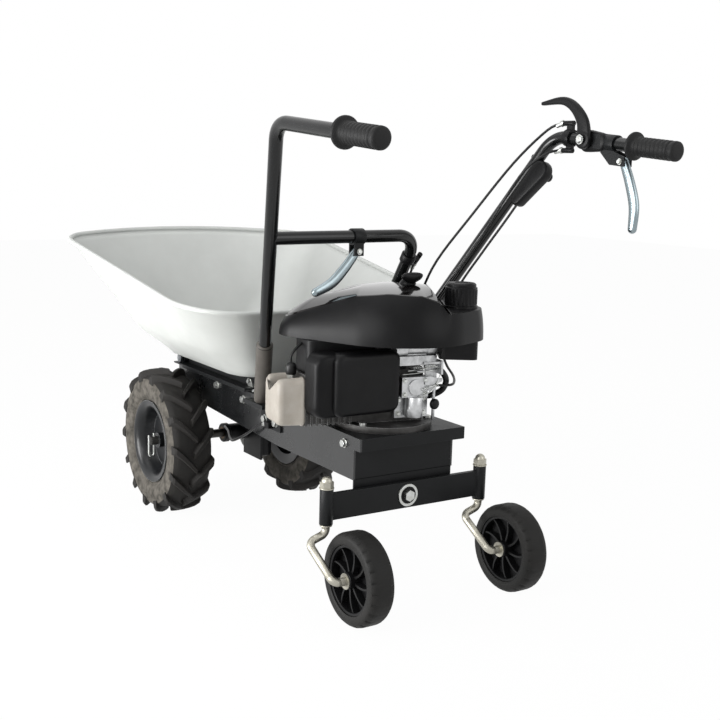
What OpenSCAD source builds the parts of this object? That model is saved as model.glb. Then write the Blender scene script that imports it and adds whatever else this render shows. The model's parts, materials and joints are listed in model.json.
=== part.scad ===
// Motor barrow for carrying concrete: a tipping tub over two driven wheels, a petrol
// engine on a steel box chassis, a rocking rear beam with two trailing casters and a pair
// of operator's handles. All lengths are millimetres, X points forwards and Z up.
// Places along X are written from the front axle. The part's own origin is on the ground,
// under the middle of the overall length.

/* [Overall] */
// Reach of the tub's front lip ahead of the front axle
tub_reach = 320; // [300:5:340]
// Reach of the hand grips behind the front axle
grip_reach = 1044; // [1030:2:1070]

/* [Front wheels] */
// Outside diameter of the lugged tyres
tyre_d = 334; // [326:2:342]
// Width of a front tyre
tyre_w = 98; // [88:2:104]
// Distance between the middles of the two front tyres
track = 350; // [346:2:360]
// Diameter of the steel rims where the tyre beads sit
rim_d = 172; // [164:2:180]
// Height of the tread lugs
lug_h = 13; // [8:1:16]
// Number of lugs along each side of a tyre
lug_count = 14; // [10:1:16]
// Diameter of the driving axle
axle_d = 20; // [16:1:22]

/* [Chassis] */
// Width of the chassis over its side plates
chassis_w = 226; // [222:2:236]
// Thickness of the chassis plates
plate_t = 4; // [3:0.5:5]
// Height of the side plates' lower edge above the ground
chassis_z = 240; // [232:2:246]
// Height of the engine deck's top face
deck_z = 320; // [318:1:326]
// Distance of the rear plate behind the front axle
box_reach = 705; // [700:1:709]
// Distance of the deck's rear lip behind the front axle
deck_reach = 725; // [722:1:730]
// Height of the deck's folded lip
lip_h = 23; // [16:1:28]
// Place of the tub's hinge ahead of the front axle
hinge_x = 60; // [52:1:66]
// Height of the tub's hinge
hinge_z = 345; // [343:1:346]
// Diameter of the hinge pin
hinge_pin_d = 12; // [10:1:14]
// Diameter of the frame bolts
bolt_d = 8; // [6:1:8]

/* [Rear beam and casters] */
// Depth of the rocking beam
beam_h = 50; // [40:2:54]
// Thickness of the rocking beam
beam_t = 10; // [8:1:10]
// Height of the beam's pivot
beam_z = 201; // [199:1:206]
// Distance between the two caster pivots
caster_span = 350; // [346:2:370]
// Diameter of the beam's pivot bolt
pivot_bolt_d = 12; // [10:1:14]
// Diameter of a caster's bent rod
rod_d = 15; // [12:1:16]
// Outside diameter of a caster wheel
caster_d = 170; // [160:2:176]
// Width of a caster wheel
caster_w = 50; // [44:1:54]
// Distance of a caster's axle behind its pivot
caster_trail = 70; // [66:1:74]

/* [Handles] */
// Outside diameter of the handle tubes
handle_d = 24; // [22:0.5:25]
// Wall of the handle tubes
handle_wall = 2; // [1.5:0.5:3]
// Height of the handles' upper bend
handle_z = 872; // [866:2:880]
// Distance between the two hand grips
grip_span = 600; // [590:2:620]
// Diameter of a hand grip
grip_d = 33; // [31:1:36]
// Length of a hand grip
grip_l = 102; // [96:2:104]
// Diameter of a grip's hand guard
guard_d = 50; // [44:1:54]

/* [Tub] */
// Width of the tub over its rolled rim
tub_w = 676; // [650:2:690]
// Thickness of the tub's sheet
tub_wall = 2; // [1.5:0.5:3]
// Height of the tub's underside
tub_floor_z = 357; // [356:1:362]
// Diameter of the rolled rim
rim_roll_d = 12; // [8:1:14]
// Distance of the tub's rear rim behind the front axle
tub_back = 440; // [430:2:444]
// Height of the rear rim's middle
tub_back_z = 514; // [504:2:524]
// Height of the front lip's middle
tub_front_z = 636; // [626:2:646]

/* [Engine] */
// Distance of the crankshaft behind the front axle
engine_reach = 630; // [627:1:632]
// Turn of the cylinder from straight left towards the front, in degrees
engine_yaw = 10; // [8:1:12]
// Diameter of the engine's base flange
base_d = 187; // [180:1:190]
// Diameter of the crankshaft
crank_d = 25; // [22:1:25]
// Height of the cowl's lower edge above the deck
cowl_up = 170; // [168:1:174]
// Height of the cowl's crown above the deck
crown_up = 270; // [266:1:276]
// Wall of the cowl
cowl_wall = 3; // [2:0.5:4]
// Turn of the cowl's nose from straight left towards the front, in degrees
cowl_yaw = 32; // [30:1:34]

/* [Drive train] */
// Teeth on the worm wheel
wheel_teeth = 30; // [30:2:30]
// Module of the worm wheel's teeth
tooth_module = 2.5; // [2.4:0.05:2.5]
// Pitch radius of the engine's pulley
engine_pulley_r = 30; // [27:1:31]
// Pitch radius of the gear case's pulley
case_pulley_r = 30; // [28:1:33]
// Height of the belt's middle above the chassis's lower edge
belt_up = 62; // [61:1:63]

/* [Controls] */
// Thickness of the drive lever
drive_lever_t = 12; // [8:1:14]
// Length of the brake lever
brake_lever_l = 133; // [120:1:140]
// Length of the reverse lever
reverse_lever_l = 125; // [110:1:130]
// Diameter of the control cables
cable_d = 5; // [4:0.5:5]

/* [Hidden] */
$fn = 48;
// Radial clearance of a turning pin or shaft
fit = 0.05;
// Clear space between pieces that pass each other
gap = 0.5;
axle_x = (grip_reach - tub_reach) / 2;
axle_z = tyre_d / 2;
rim_y = track / 2;
// Chassis
side_y = chassis_w / 2;
inner_y = side_y - plate_t;
sheet_z = deck_z - plate_t;
deck_wide = 12;
deck_front = 448;
deck_end = 290;
front_top = deck_z + 12;
ear_r = tub_floor_z - hinge_z - 1.5;
arch_z = 286;
bolt_r = bolt_d / 2;
hole_r = bolt_r + 0.2;
washer_t = 1.6;
frame_bolts = [[-138, deck_z - 5], [-267, deck_z - 13], [-box_reach + 32, deck_z - 17]];
foot_bolts = [[-418, deck_z - 33], [-372, deck_z - 33]];
// Rear beam: it hangs just behind the box, on a bracket below the rear plate
beam_x = -box_reach - 1;
bush_back = beam_x - beam_t - 7;
bush_front = -box_reach + plate_t - 0.3;
bush_r = 21.5;
bracket_w = 90;
bracket_t = 8;
tube_r = 12.5;
tube_up = 34;
tube_low = beam_z - 32;
tube_x = beam_x - 4 - beam_t / 2;
// Casters: the rod drops, cranks to the left, runs back and turns in as the axle
rod_r = rod_d / 2;
crank_out = 36;
caster_z = caster_d / 2;
caster_side = -27;
knee_z = 152;
rod_bend = 14;
// Handles
handle_r = handle_d / 2;
handle_foot = [-395, side_y + 25, deck_z + 10];
handle_bend = [-738, grip_span / 2, handle_z];
handle_end = [-grip_reach, grip_span / 2, handle_z - 28];
handle_dir = (handle_bend - handle_foot) / norm(handle_bend - handle_foot);
grip_dir = (handle_end - handle_bend) / norm(handle_end - handle_bend);
cross_z = 675;
cross_corner = [-590, -95, cross_z + 1];
cross_foot = [-362, -95, deck_z];
ledge_t = 8;
// Tub
tub_half = (tub_w - rim_roll_d) / 2;
rail_y = 84;
lip_r = 90;
lip_turn = 21;
rear_in = 22;
rear_r = 125;
rail_w = 12;
barrel_r = hinge_pin_d / 2 + 5;
// Engine
engine_z = deck_z;
crank_r = crank_d / 2;
case_r = 74;
case_h = 110;
case_flat = 38;
head_y = 174;
neck_ring_r = 42;
cowl_z = deck_z + cowl_up;
crown_z = deck_z + crown_up;
tank_y = [-172, -100];
tank_half = 44;
tank_top = cowl_z + 44;
neck_y = -140;
neck_r = 23;
shelf_y = -106;
shelf_z = cowl_z + 58;
starter_seat = [-652, -37, crown_z + 6];
starter_dir = [-0.6, 0, 0.8];
reel_r = 45;
// Worm gear: the worm stands behind the axle and beside the middle of the box
pitch = PI * tooth_module;
wheel_r = wheel_teeth * tooth_module / 2;
worm_r = 4.3 * tooth_module;
worm_wave = 0.83 * tooth_module;
centre_d = wheel_r + 4.45 * tooth_module;
gear_y = -50;
gear_half = 19;
boss_l = 12;
sleeve_end = 33;
wheel_half = 7;
case_wall = 6;
case_in_r = wheel_r + 6;
case_out_r = case_in_r + case_wall;
worm_turns = 5;
worm_shaft_r = 7.5;
worm_house_r = worm_r + worm_wave + 2.5 + case_wall;
house_top = axle_z + 68;
house_low = axle_z - 52;
belt_z = chassis_z + belt_up;
belt_w = 10;
belt_h = 8;
pulley_h = 20;
tension_pin = [-300, 62];
idler_r = 15;
idler_place = [-370, 36];
tension_z = belt_z - 14;
// Controls, on the right handle unless named otherwise
drive_pivot = [-841, -grip_span / 2, handle_z - 8];
lever_face = -grip_span / 2 + handle_r + 4.5;
brake_pivot = [-922, -grip_span / 2, handle_z - 46];
reverse_pivot = [-600, 52, cross_z - 27];
pod_z = 804;
pod_out = handle_r + 17;
pod_pivot = [14, 4];
clamp_wall = 3.5;

// Helpers

function unit(v) = v / norm(v);
function mid(a, b, t) = a + (b - a) * t;
function handle_at(z) =
    mid(handle_foot, handle_bend, (z - handle_foot[2]) / (handle_bend[2] - handle_foot[2]));
function flip(p) = [p[0], -p[1], p[2]];
// A point of the smooth curve through hand-chosen points, between b and c
function smooth(a, b, c, d, t) =
    0.5 * (2 * b + (c - a) * t + (2 * a - 5 * b + 4 * c - d) * t * t + (3 * b - a - 3 * c + d) * t * t * t);
function eased(route, steps) = [
    for (i = [0 : len(route) - 2], k = [0 : steps - 1])
        smooth(route[max(i - 1, 0)], route[i], route[i + 1], route[min(i + 2, len(route) - 1)], k / steps),
    route[len(route) - 1]
];
function bend_back(path, i, bend) =
    (i == 0 || i == len(path) - 1) ? 0
    : bend * tan(acos(unit(path[i] - path[i - 1]) * unit(path[i + 1] - path[i])) / 2);
function longer(path, by) = [
    for (i = [0 : len(path) - 1])
        i == 0 ? path[0] - unit(path[1] - path[0]) * by
        : i == len(path) - 1 ? path[i] + unit(path[i] - path[i - 1]) * by
        : path[i]
];

module from_axle() {
    translate([axle_x, 0, 0]) children();
}

module both_sides() {
    children();
    mirror([0, 1, 0]) children();
}

module block(low, high) {
    translate(low) cube(high - low);
}

module rod(a, b, r) {
    d = b - a;
    translate(a) rotate([0, acos(d[2] / norm(d)), atan2(d[1], d[0])]) cylinder(h = norm(d), r = r);
}

// A cylinder along Y, at the place x, z
module cross_bar(x, z, y0, y1, r) {
    translate([x, y0, z]) rotate([-90, 0, 0]) cylinder(h = y1 - y0, r = r);
}

// A plate drawn in X and Z, from y0 to y1
module upright(y0, y1) {
    translate([0, y1, 0]) rotate([90, 0, 0]) linear_extrude(y1 - y0) children();
}

// A body turned about an axis along Y through x, z
module turned(x, z) {
    translate([x, 0, z]) rotate([-90, 0, 0]) rotate_extrude() children();
}

module elbow(a, b, c, bend, r) {
    u = unit(b - a);
    v = unit(c - b);
    turn = acos(u * v);
    n = unit(v - (u * v) * u);
    o = b - u * bend * tan(turn / 2) + n * bend;
    w = cross(-n, u);
    multmatrix([
        [-n[0], u[0], w[0], o[0]],
        [-n[1], u[1], w[1], o[1]],
        [-n[2], u[2], w[2], o[2]],
        [0, 0, 0, 1]
    ]) rotate_extrude(angle = turn) translate([bend, 0]) circle(r = r);
}

// A round bar along straight runs, with bends of one radius
module bent_bar(path, r, bend) {
    lap = 0.2;
    slim = 0.04;
    for (i = [0 : len(path) - 2]) {
        way = unit(path[i + 1] - path[i]);
        from = max(bend_back(path, i, bend) - lap, 0);
        to = max(bend_back(path, i + 1, bend) - lap, 0);
        rod(path[i] + way * from, path[i + 1] - way * to, r);
    }
    for (i = [1 : 1 : len(path) - 2]) elbow(path[i - 1], path[i], path[i + 1], bend, r - slim);
}

module bent_tube(path, r, wall, bend) {
    difference() {
        bent_bar(path, r, bend);
        bent_bar(longer(path, 1), r - wall, bend);
    }
}

// A cable or hose: eight sides, swept along an eased route
module swept(route, r, steps) {
    points = eased(route, steps);
    last = len(points) - 1;
    sides = 8;
    corners = [
        for (i = [0 : last])
            let (
                t = unit(points[min(i + 1, last)] - points[max(i - 1, 0)]),
                n = unit(cross([0.1, 1, 0.2], t)),
                b = cross(t, n)
            )
            for (k = [0 : sides - 1]) points[i] + r * (cos(360 * k / sides) * n + sin(360 * k / sides) * b)
    ];
    function at(i, k) = i * sides + k % sides;
    walls = [
        for (i = [0 : last - 1], k = [0 : sides - 1], half = [0, 1])
            half == 0 ? [at(i, k), at(i + 1, k), at(i + 1, k + 1)]
            : [at(i, k), at(i + 1, k + 1), at(i, k + 1)]
    ];
    start = [for (k = [1 : sides - 2]) [at(0, 0), at(0, k), at(0, k + 1)]];
    end = [for (k = [1 : sides - 2]) [at(last, 0), at(last, k + 1), at(last, k)]];
    polyhedron(points = corners, faces = concat(walls, start, end));
}

module hexagon(across, h) {
    cylinder(h = h, r = across / sqrt(3), $fn = 6);
}

// A bolt through a wall from y0 inside to y1 outside: washer and head outside, nut inside
module wall_bolt(p, y0, y1) {
    across = bolt_d * 1.6;
    translate([p[0], 0, p[1]]) {
        cross_bar(0, 0, y0, y1, bolt_r);
        cross_bar(0, 0, y1, y1 + washer_t, bolt_d * 1.1);
        translate([0, y1 + washer_t, 0]) rotate([-90, 0, 0]) hexagon(across, bolt_d * 0.65);
        translate([0, y0 - bolt_d * 0.8, 0]) rotate([-90, 0, 0]) hexagon(across, bolt_d * 0.8);
    }
}

// Chassis

module side_outline(top_rear, tab) {
    polygon(concat(
        [[-box_reach, chassis_z]],
        tab ? [[-box_reach, deck_z - lip_h], [-deck_reach, deck_z - lip_h], [-deck_reach, top_rear]]
            : [[-box_reach, top_rear], [-deck_front, top_rear]],
        tab ? [] : [[-deck_front, deck_z + 5]],
        [
            [hinge_x - ear_r, front_top],
            [hinge_x - ear_r, hinge_z],
            [hinge_x + ear_r, hinge_z],
            [hinge_x + ear_r, arch_z],
            [-60, chassis_z + 18],
            [-420, chassis_z]
        ]
    ));
}

module side_plate(top_rear, tab) {
    difference() {
        union() {
            upright(inner_y, side_y) side_outline(top_rear, tab);
            cross_bar(hinge_x, hinge_z, inner_y, side_y, ear_r);
        }
        cross_bar(hinge_x, hinge_z, inner_y - 1, side_y + 1, hinge_pin_d / 2 + fit);
        for (p = concat(frame_bolts, foot_bolts)) cross_bar(p[0], p[1], inner_y - 1, side_y + 1, hole_r);
    }
}

module left_side_plate() {
    color("#2b2c2e") from_axle() side_plate(deck_z, true);
}

module right_side_plate() {
    color("#2b2c2e") from_axle() mirror([0, 1, 0]) side_plate(sheet_z, false);
}

// The rear plate with the welded bracket that holds the beam's pivot bolt
module rear_plate() {
    x = -box_reach + plate_t;
    color("#1b1b1d") from_axle() difference() {
        union() {
            block([-box_reach, -inner_y, chassis_z], [x, inner_y, sheet_z]);
            block([x, -bracket_w / 2, beam_z - 17], [x + bracket_t, bracket_w / 2, sheet_z - 20]);
            both_sides() upright(bracket_w / 2 - plate_t, bracket_w / 2)
                polygon([
                    [x + bracket_t / 2, beam_z],
                    [x + bracket_t / 2, chassis_z + 40],
                    [x + 60, chassis_z + 40]
                ]);
        }
        translate([-box_reach - 1, 0, beam_z]) rotate([0, 90, 0])
            cylinder(h = 30, r = pivot_bolt_d / 2 + 0.1);
    }
}

// Engine deck: a folded sheet that also covers the belt, with the tensioner's pivot post
module engine_deck() {
    right = -side_y - deck_wide;
    post_r = 6;
    color("#17181a") from_axle() {
        difference() {
            union() {
                block([-deck_reach, right, sheet_z], [-deck_front, inner_y, deck_z]);
                block([-deck_front, -inner_y, sheet_z], [-deck_end, inner_y, deck_z]);
                block([-deck_reach, right, deck_z - lip_h], [-deck_reach + plate_t, inner_y, sheet_z]);
                block([-deck_reach, right, deck_z - lip_h], [-deck_front, right + plate_t, sheet_z]);
            }
            translate([-engine_reach, 0, sheet_z - 1]) cylinder(h = plate_t + 2, r = 34);
            at_engine() engine_bolt_places() translate([0, 0, sheet_z - 1])
                cylinder(h = plate_t + 2, r = hole_r);
        }
        translate([tension_pin[0], tension_pin[1], tension_z - 5]) {
            cylinder(h = sheet_z - tension_z + 5, r = post_r);
            cylinder(h = 5 - gap, r = post_r + 4);
        }
    }
}

// The plate between the side plates that the gear case hangs from, with the worm shaft's hole
module front_crossmember() {
    color("#1b1b1d") from_axle() difference() {
        block([-150, -inner_y, arch_z], [-10, inner_y, arch_z + plate_t]);
        translate([-centre_d, gear_y, arch_z - 1]) cylinder(h = plate_t + 2, r = 14);
    }
}

// The bar that the tub's cradle comes down on, between the side plates
module tub_rest() {
    color("#17181a") from_axle()
        block([-288, -rail_y + 2, deck_z - 4], [-264, rail_y - 2, front_top + 3 - gap]);
}

module hinge_pin() {
    color("#b9bcc0") from_axle() {
        cross_bar(hinge_x, hinge_z, -side_y - 6, side_y + 6, hinge_pin_d / 2);
        both_sides() cross_bar(hinge_x, hinge_z, side_y, side_y + 5, hinge_pin_d / 2 + 4);
    }
}

module chassis_bolts() {
    color("#c9ccd0") from_axle() {
        both_sides() {
            for (p = frame_bolts) wall_bolt(p, inner_y, side_y);
            for (p = foot_bolts) wall_bolt(p, inner_y, side_y + plate_t);
        }
        at_engine() engine_bolt_places() {
            translate([0, 0, sheet_z - bolt_d * 0.8]) hexagon(bolt_d * 1.6, bolt_d * 0.8);
            translate([0, 0, sheet_z]) cylinder(h = plate_t + 12, r = bolt_r);
            translate([0, 0, deck_z + 12]) hexagon(bolt_d * 1.6, bolt_d * 0.65);
        }
    }
}

// Gear case and drive train

// The cast case: a drum round the worm wheel, the worm's upright housing and the axle's sleeve
module gear_case() {
    sleeve_r = 22.5;
    seat_r = axle_d / 2 + 5;
    color("#8d8f90") from_axle() difference() {
        union() {
            cross_bar(0, axle_z, gear_y - gear_half, gear_y + gear_half, case_out_r);
            cross_bar(0, axle_z, gear_y - gear_half - boss_l, sleeve_end, sleeve_r);
            translate([-centre_d, gear_y, house_low]) cylinder(h = house_top - house_low, r = worm_house_r);
        }
        cross_bar(0, axle_z, gear_y - gear_half + 4, gear_y + gear_half - 4, case_in_r);
        cross_bar(0, axle_z, gear_y - gear_half - boss_l - 1, sleeve_end + 1, seat_r + fit);
        translate([-centre_d, gear_y, house_low + 20])
            cylinder(h = house_top - house_low - 40, r = worm_house_r - case_wall);
        translate([-centre_d, gear_y, house_low + 6])
            cylinder(h = house_top - house_low, r = worm_shaft_r + fit);
    }
}

// The plate that hangs the gear case from the crossmember, round its sleeve
module gearbox_hanger() {
    y = gear_y + gear_half;
    color("#161718") from_axle() difference() {
        block([-centre_d - 38, y, house_low - 2], [0, y + 6, arch_z]);
        cross_bar(0, axle_z, y - 1, y + 7, 22.5 + fit);
        translate([-centre_d, gear_y, 0]) cylinder(h = house_top + gap, r = worm_house_r + gap);
    }
}

module axle_bushes() {
    far_end = gear_y - gear_half;
    spans = [[sleeve_end - 20, sleeve_end], [far_end - boss_l, far_end]];
    color("#b08d57") from_axle() for (span = spans) difference() {
        cross_bar(0, axle_z, span[0], span[1], axle_d / 2 + 5);
        cross_bar(0, axle_z, span[0] - 1, span[1] + 1, axle_d / 2 + fit);
    }
}

// The axle, with a cross hole at each end for its wheel pin
module axle_shaft() {
    color("#4a4b4d") from_axle() difference() {
        cross_bar(0, axle_z, -rim_y - 40, rim_y + 40, axle_d / 2);
        both_sides() translate([0, rim_y + 32, axle_z - axle_d]) cylinder(h = axle_d * 2, r = 2.6);
    }
}

function tooth(i) = [
    for (p = [[-0.40, -3.5], [-0.08, 2.5], [0.08, 2.5], [0.40, -3.5]])
        let (r = wheel_r + p[1] * tooth_module / 3.6, a = 180 + (i + p[0]) * 360 / wheel_teeth)
            [r * cos(a), r * sin(a)]
];

module worm_wheel() {
    color("#b08d57") from_axle() difference() {
        translate([0, gear_y + wheel_half, axle_z]) rotate([90, 0, 0]) linear_extrude(2 * wheel_half)
            polygon([for (i = [0 : wheel_teeth - 1]) each tooth(i)]);
        cross_bar(0, axle_z, gear_y - 20, gear_y + 20, axle_d / 2 + fit);
    }
}

// The worm stands in the case and carries the belt's second pulley
module worm_shaft() {
    low = axle_z - worm_turns * pitch / 2;
    color("#8a8c90") from_axle() translate([-centre_d, gear_y, 0]) {
        translate([0, 0, low])
            linear_extrude(worm_turns * pitch, twist = -360 * worm_turns, slices = worm_turns * 9)
                translate([worm_wave, 0]) circle(r = worm_r, $fn = 16);
        translate([0, 0, house_low + 8])
            cylinder(h = belt_z + pulley_h / 2 - house_low - 8, r = worm_shaft_r);
        translate([0, 0, belt_z]) pulley(case_pulley_r, worm_shaft_r);
    }
}

module pulley(r, bore) {
    half = pulley_h / 2;
    rotate_extrude() polygon([
        [bore, -half],
        [r + 4, -half],
        [r + 4, -belt_w / 2 - 1.5],
        [r - belt_h, -belt_w / 2 + 2],
        [r - belt_h, belt_w / 2 - 2],
        [r + 4, belt_w / 2 + 1.5],
        [r + 4, half],
        [bore, half]
    ]);
}

// The V-belt: two straight runs between the pulleys' outer tangents, and two half loops
module v_belt() {
    a = [-engine_reach, 0];
    b = [-centre_d, gear_y];
    d = norm(b - a);
    way = atan2(b[1] - a[1], b[0] - a[0]);
    lean = asin((case_pulley_r - engine_pulley_r) / d);
    run = d * cos(lean);
    inner = -belt_h / 2 - 1;
    section = [
        [inner, -belt_w / 2 + 2],
        [belt_h / 2, -belt_w / 2],
        [belt_h / 2, belt_w / 2],
        [inner, belt_w / 2 - 2]
    ];
    color("#151515") from_axle() translate([a[0], a[1], belt_z]) rotate([0, 0, way]) {
        for (s = [1, -1]) scale([1, s, 1]) rotate([0, 0, lean])
            translate([0, engine_pulley_r, 0]) rotate([90, 0, 90]) linear_extrude(run) polygon(section);
        rotate([0, 0, 90 + lean]) rotate_extrude(angle = 180 - 2 * lean)
            translate([engine_pulley_r, 0]) polygon(section);
        translate([d, 0, 0]) rotate([0, 0, -90 - lean]) rotate_extrude(angle = 180 + 2 * lean)
            translate([case_pulley_r, 0]) polygon(section);
    }
}

// The belt tensioner: an arm on the deck's post, with its idler pulley below
module tensioner() {
    arm_z = tension_z;
    color("#707276") from_axle() {
        difference() {
            hull() {
                translate([tension_pin[0], tension_pin[1], arm_z]) cylinder(h = 5, r = 12, $fn = 32);
                translate([idler_place[0], idler_place[1], arm_z]) cylinder(h = 5, r = 10, $fn = 32);
            }
            translate([tension_pin[0], tension_pin[1], arm_z - 1]) cylinder(h = 8, r = 6 + fit);
        }
        translate([idler_place[0], idler_place[1], belt_z - 6]) cylinder(h = 12, r = idler_r);
        translate([idler_place[0], idler_place[1], arm_z + 5]) cylinder(h = belt_z - 6 - arm_z - 5, r = 7);
    }
}

// Front wheels

module rim() {
    bead = rim_d / 2;
    half = tyre_w / 2 - 8;
    turned(0, axle_z) polygon([
        [axle_d / 2 + fit, -22],
        [axle_d / 2 + 7, -22],
        [axle_d / 2 + 7, 0],
        [bead - 34, 4],
        [bead - 22, -6],
        [bead - 16, -half + 2],
        [bead + 9, -half - 2],
        [bead + 9, -half + 1],
        [bead, -half + 4],
        [bead, -half + 18],
        [bead - 12, -12],
        [bead - 12, 12],
        [bead, half - 18],
        [bead, half - 4],
        [bead + 9, half - 1],
        [bead + 9, half + 2],
        [bead - 4, half],
        [bead - 16, 12],
        [bead - 22, 0],
        [bead - 34, 10],
        [axle_d / 2 + 7, 8],
        [axle_d / 2 + 7, 24],
        [axle_d / 2 + fit, 24]
    ]);
}

// A lugged tyre: a hollow carcass and bars that run from the middle of the tread to the shoulder
module tyre() {
    bead = rim_d / 2 + 0.2;
    crown = tyre_d / 2 - lug_h;
    half = tyre_w / 2;
    wall = 8;
    translate([0, 0, axle_z]) rotate([-90, 0, 0]) {
        rotate_extrude($fn = 56) polygon([
            [bead, -half + 14],
            [bead + 10, -half + 10.6],
            [bead + 22, -half + 3],
            [(bead + crown) / 2 + 6, -half],
            [crown - 10, -half + 4],
            [crown - 2, -half + 18],
            [crown, 0],
            [crown - 2, half - 18],
            [crown - 10, half - 4],
            [(bead + crown) / 2 + 6, half],
            [bead + 22, half - 3],
            [bead + 10, half - 10.6],
            [bead, half - 14],
            [bead, half - 22],
            [bead + 24, half - wall - 3],
            [crown - 14, half - wall - 6],
            [crown - wall, 0],
            [crown - 14, -half + wall + 6],
            [bead + 24, -half + wall + 3],
            [bead, -half + 22]
        ]);
        for (side = [1, -1], i = [0 : lug_count - 1])
            rotate([0, 0, (i + (side > 0 ? 0 : 0.5)) * 360 / lug_count]) hull() {
                translate([crown - 4, -7, side > 0 ? -3 : -7]) cube([lug_h + 4, 14, 10]);
                rotate([0, 0, 17]) translate([crown - 10, -8, side * (half - 3) - 3])
                    cube([lug_h + 4, 16, 6]);
            }
    }
}

module left_rim() {
    color("#26282a") from_axle() translate([0, rim_y, 0]) rim();
}

module right_rim() {
    color("#26282a") from_axle() mirror([0, 1, 0]) translate([0, rim_y, 0]) rim();
}

module left_tyre() {
    color("#2a2a2a") from_axle() translate([0, rim_y, 0]) tyre();
}

module right_tyre() {
    color("#2a2a2a") from_axle() mirror([0, 1, 0]) translate([0, rim_y, 0]) tyre();
}

// Spring clips: one leg goes down through the axle, the other hangs outside its end
module wheel_pins() {
    y = rim_y + 32;
    color("#c9ccd0") from_axle() both_sides()
        bent_bar([
            [0, y, axle_z + 18],
            [0, y, axle_z - 36],
            [0, y + 12, axle_z - 36],
            [0, y + 12, axle_z + 14]
        ], 2.5, 5.9);
}

// Rear beam and casters

module at_casters() {
    for (s = [1, -1]) translate([tube_x, s * caster_span / 2, 0]) children();
}

module caster_beam() {
    x = beam_x - 4;
    color("#161718") from_axle() {
        difference() {
            block([x - beam_t, -caster_span / 2, beam_z - beam_h / 2],
                [x, caster_span / 2, beam_z + beam_h / 2]);
            translate([x - beam_t - 1, 0, beam_z]) rotate([0, 90, 0]) cylinder(h = beam_t + 2, r = bush_r);
            at_casters() translate([0, 0, tube_low - 1]) cylinder(h = 80, r = tube_r - 1);
        }
        at_casters() difference() {
            translate([0, 0, tube_low]) cylinder(h = beam_z + tube_up - tube_low, r = tube_r);
            translate([0, 0, tube_low - 1]) cylinder(h = 90, r = rod_r + 2.5);
        }
    }
}

// Bushes: the ring in the middle of the beam, and one at each end of the caster tubes
module beam_bushes() {
    x = bush_back;
    long = bush_front - bush_back;
    color("#c4c7ca") from_axle() {
        difference() {
            translate([x, 0, beam_z]) rotate([0, 90, 0]) cylinder(h = long, r = bush_r - fit);
            translate([x - 1, 0, beam_z]) rotate([0, 90, 0])
                cylinder(h = long + 2, r = pivot_bolt_d / 2 + fit);
            translate([x - 1, 0, beam_z]) rotate([0, 90, 0]) cylinder(h = 5, r = bush_r - 5);
        }
        at_casters() for (z = [tube_low, beam_z + tube_up - 16]) difference() {
            translate([0, 0, z]) cylinder(h = 16, r = rod_r + 2.5 - fit);
            translate([0, 0, z - 1]) cylinder(h = 18, r = rod_r + fit);
        }
    }
}

module beam_bolt() {
    x = bush_back + 4;
    nut_x = -box_reach + plate_t + bracket_t;
    across = pivot_bolt_d * 1.6;
    color("#c9ccd0") from_axle() translate([0, 0, beam_z]) rotate([0, 90, 0]) {
        translate([0, 0, x - 2 - gap]) cylinder(h = 2, r = across / 2 + 4);
        translate([0, 0, x - 10 - gap]) hexagon(across, 8);
        translate([0, 0, x - 2 - gap]) cylinder(h = nut_x - x + 2 + gap, r = pivot_bolt_d / 2);
        translate([0, 0, nut_x]) hexagon(across, pivot_bolt_d * 0.8);
    }
}

// A caster's bent rod with its washer and nut above the tube, and washers beside the wheel
module caster_rod() {
    top = beam_z + tube_up;
    wheel_y = caster_side;
    face = caster_w / 2 + 1;
    path = [
        [0, 0, top + 14],
        [0, 0, knee_z],
        [0, crank_out, knee_z - 12],
        [-caster_trail, crank_out - 12, caster_z],
        [-caster_trail, wheel_y - face - 7, caster_z]
    ];
    translate([tube_x, 0, 0]) {
        bent_bar(path, rod_r, rod_bend);
        translate([0, 0, top + gap]) cylinder(h = 2, r = tube_r + 1);
        translate([0, 0, top + gap + 2]) hexagon(22, 11);
        translate([0, 0, top + gap + 13]) intersection() {
            sphere(r = 10);
            cylinder(h = 12, r = 12);
        }
        translate([0, 0, tube_low - gap - 2]) cylinder(h = 2, r = tube_r - 1);
        for (y = [wheel_y - face - gap - 2, wheel_y + face + gap])
            cross_bar(-caster_trail, caster_z, y, y + 2, rod_r + 7);
        cross_bar(-caster_trail, caster_z, wheel_y - face - 5, wheel_y - face - 3, rod_r + 3);
    }
}

module caster_hub() {
    rim_out = caster_d / 2 - 22;
    half = caster_w / 2;
    boss = rod_r + 8;
    translate([tube_x - caster_trail, caster_side, caster_z]) rotate([-90, 0, 0]) {
        difference() {
            translate([0, 0, -half - 1]) cylinder(h = caster_w + 2, r = boss);
            translate([0, 0, -half - 2]) cylinder(h = caster_w + 4, r = rod_r + fit);
        }
        difference() {
            translate([0, 0, -half + 4]) cylinder(h = caster_w - 8, r = rim_out);
            translate([0, 0, -half + 3]) cylinder(h = caster_w - 6, r = rim_out - 5);
        }
        difference() {
            translate([0, 0, -3]) cylinder(h = 6, r = rim_out - 4);
            translate([0, 0, -4]) cylinder(h = 8, r = boss - 1);
        }
        for (i = [0 : 8]) rotate([0, 0, i * 40])
            translate([boss - 1, -2, -half + 8]) cube([rim_out - boss - 3, 4, caster_w - 16]);
    }
}

module caster_tyre() {
    inside = caster_d / 2 - 22 + fit;
    outside = caster_d / 2;
    half = caster_w / 2;
    translate([0, caster_side, 0]) turned(tube_x - caster_trail, caster_z) polygon([
        [inside, -half + 2],
        [inside + 4, -half],
        [outside - 10, -half],
        [outside - 3, -half + 5],
        [outside, -half + 12],
        [outside, half - 12],
        [outside - 3, half - 5],
        [outside - 10, half],
        [inside + 4, half],
        [inside, half - 2]
    ]);
}

module left_caster_rod() {
    color("#b7b6ad") from_axle() translate([0, caster_span / 2, 0]) caster_rod();
}

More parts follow.
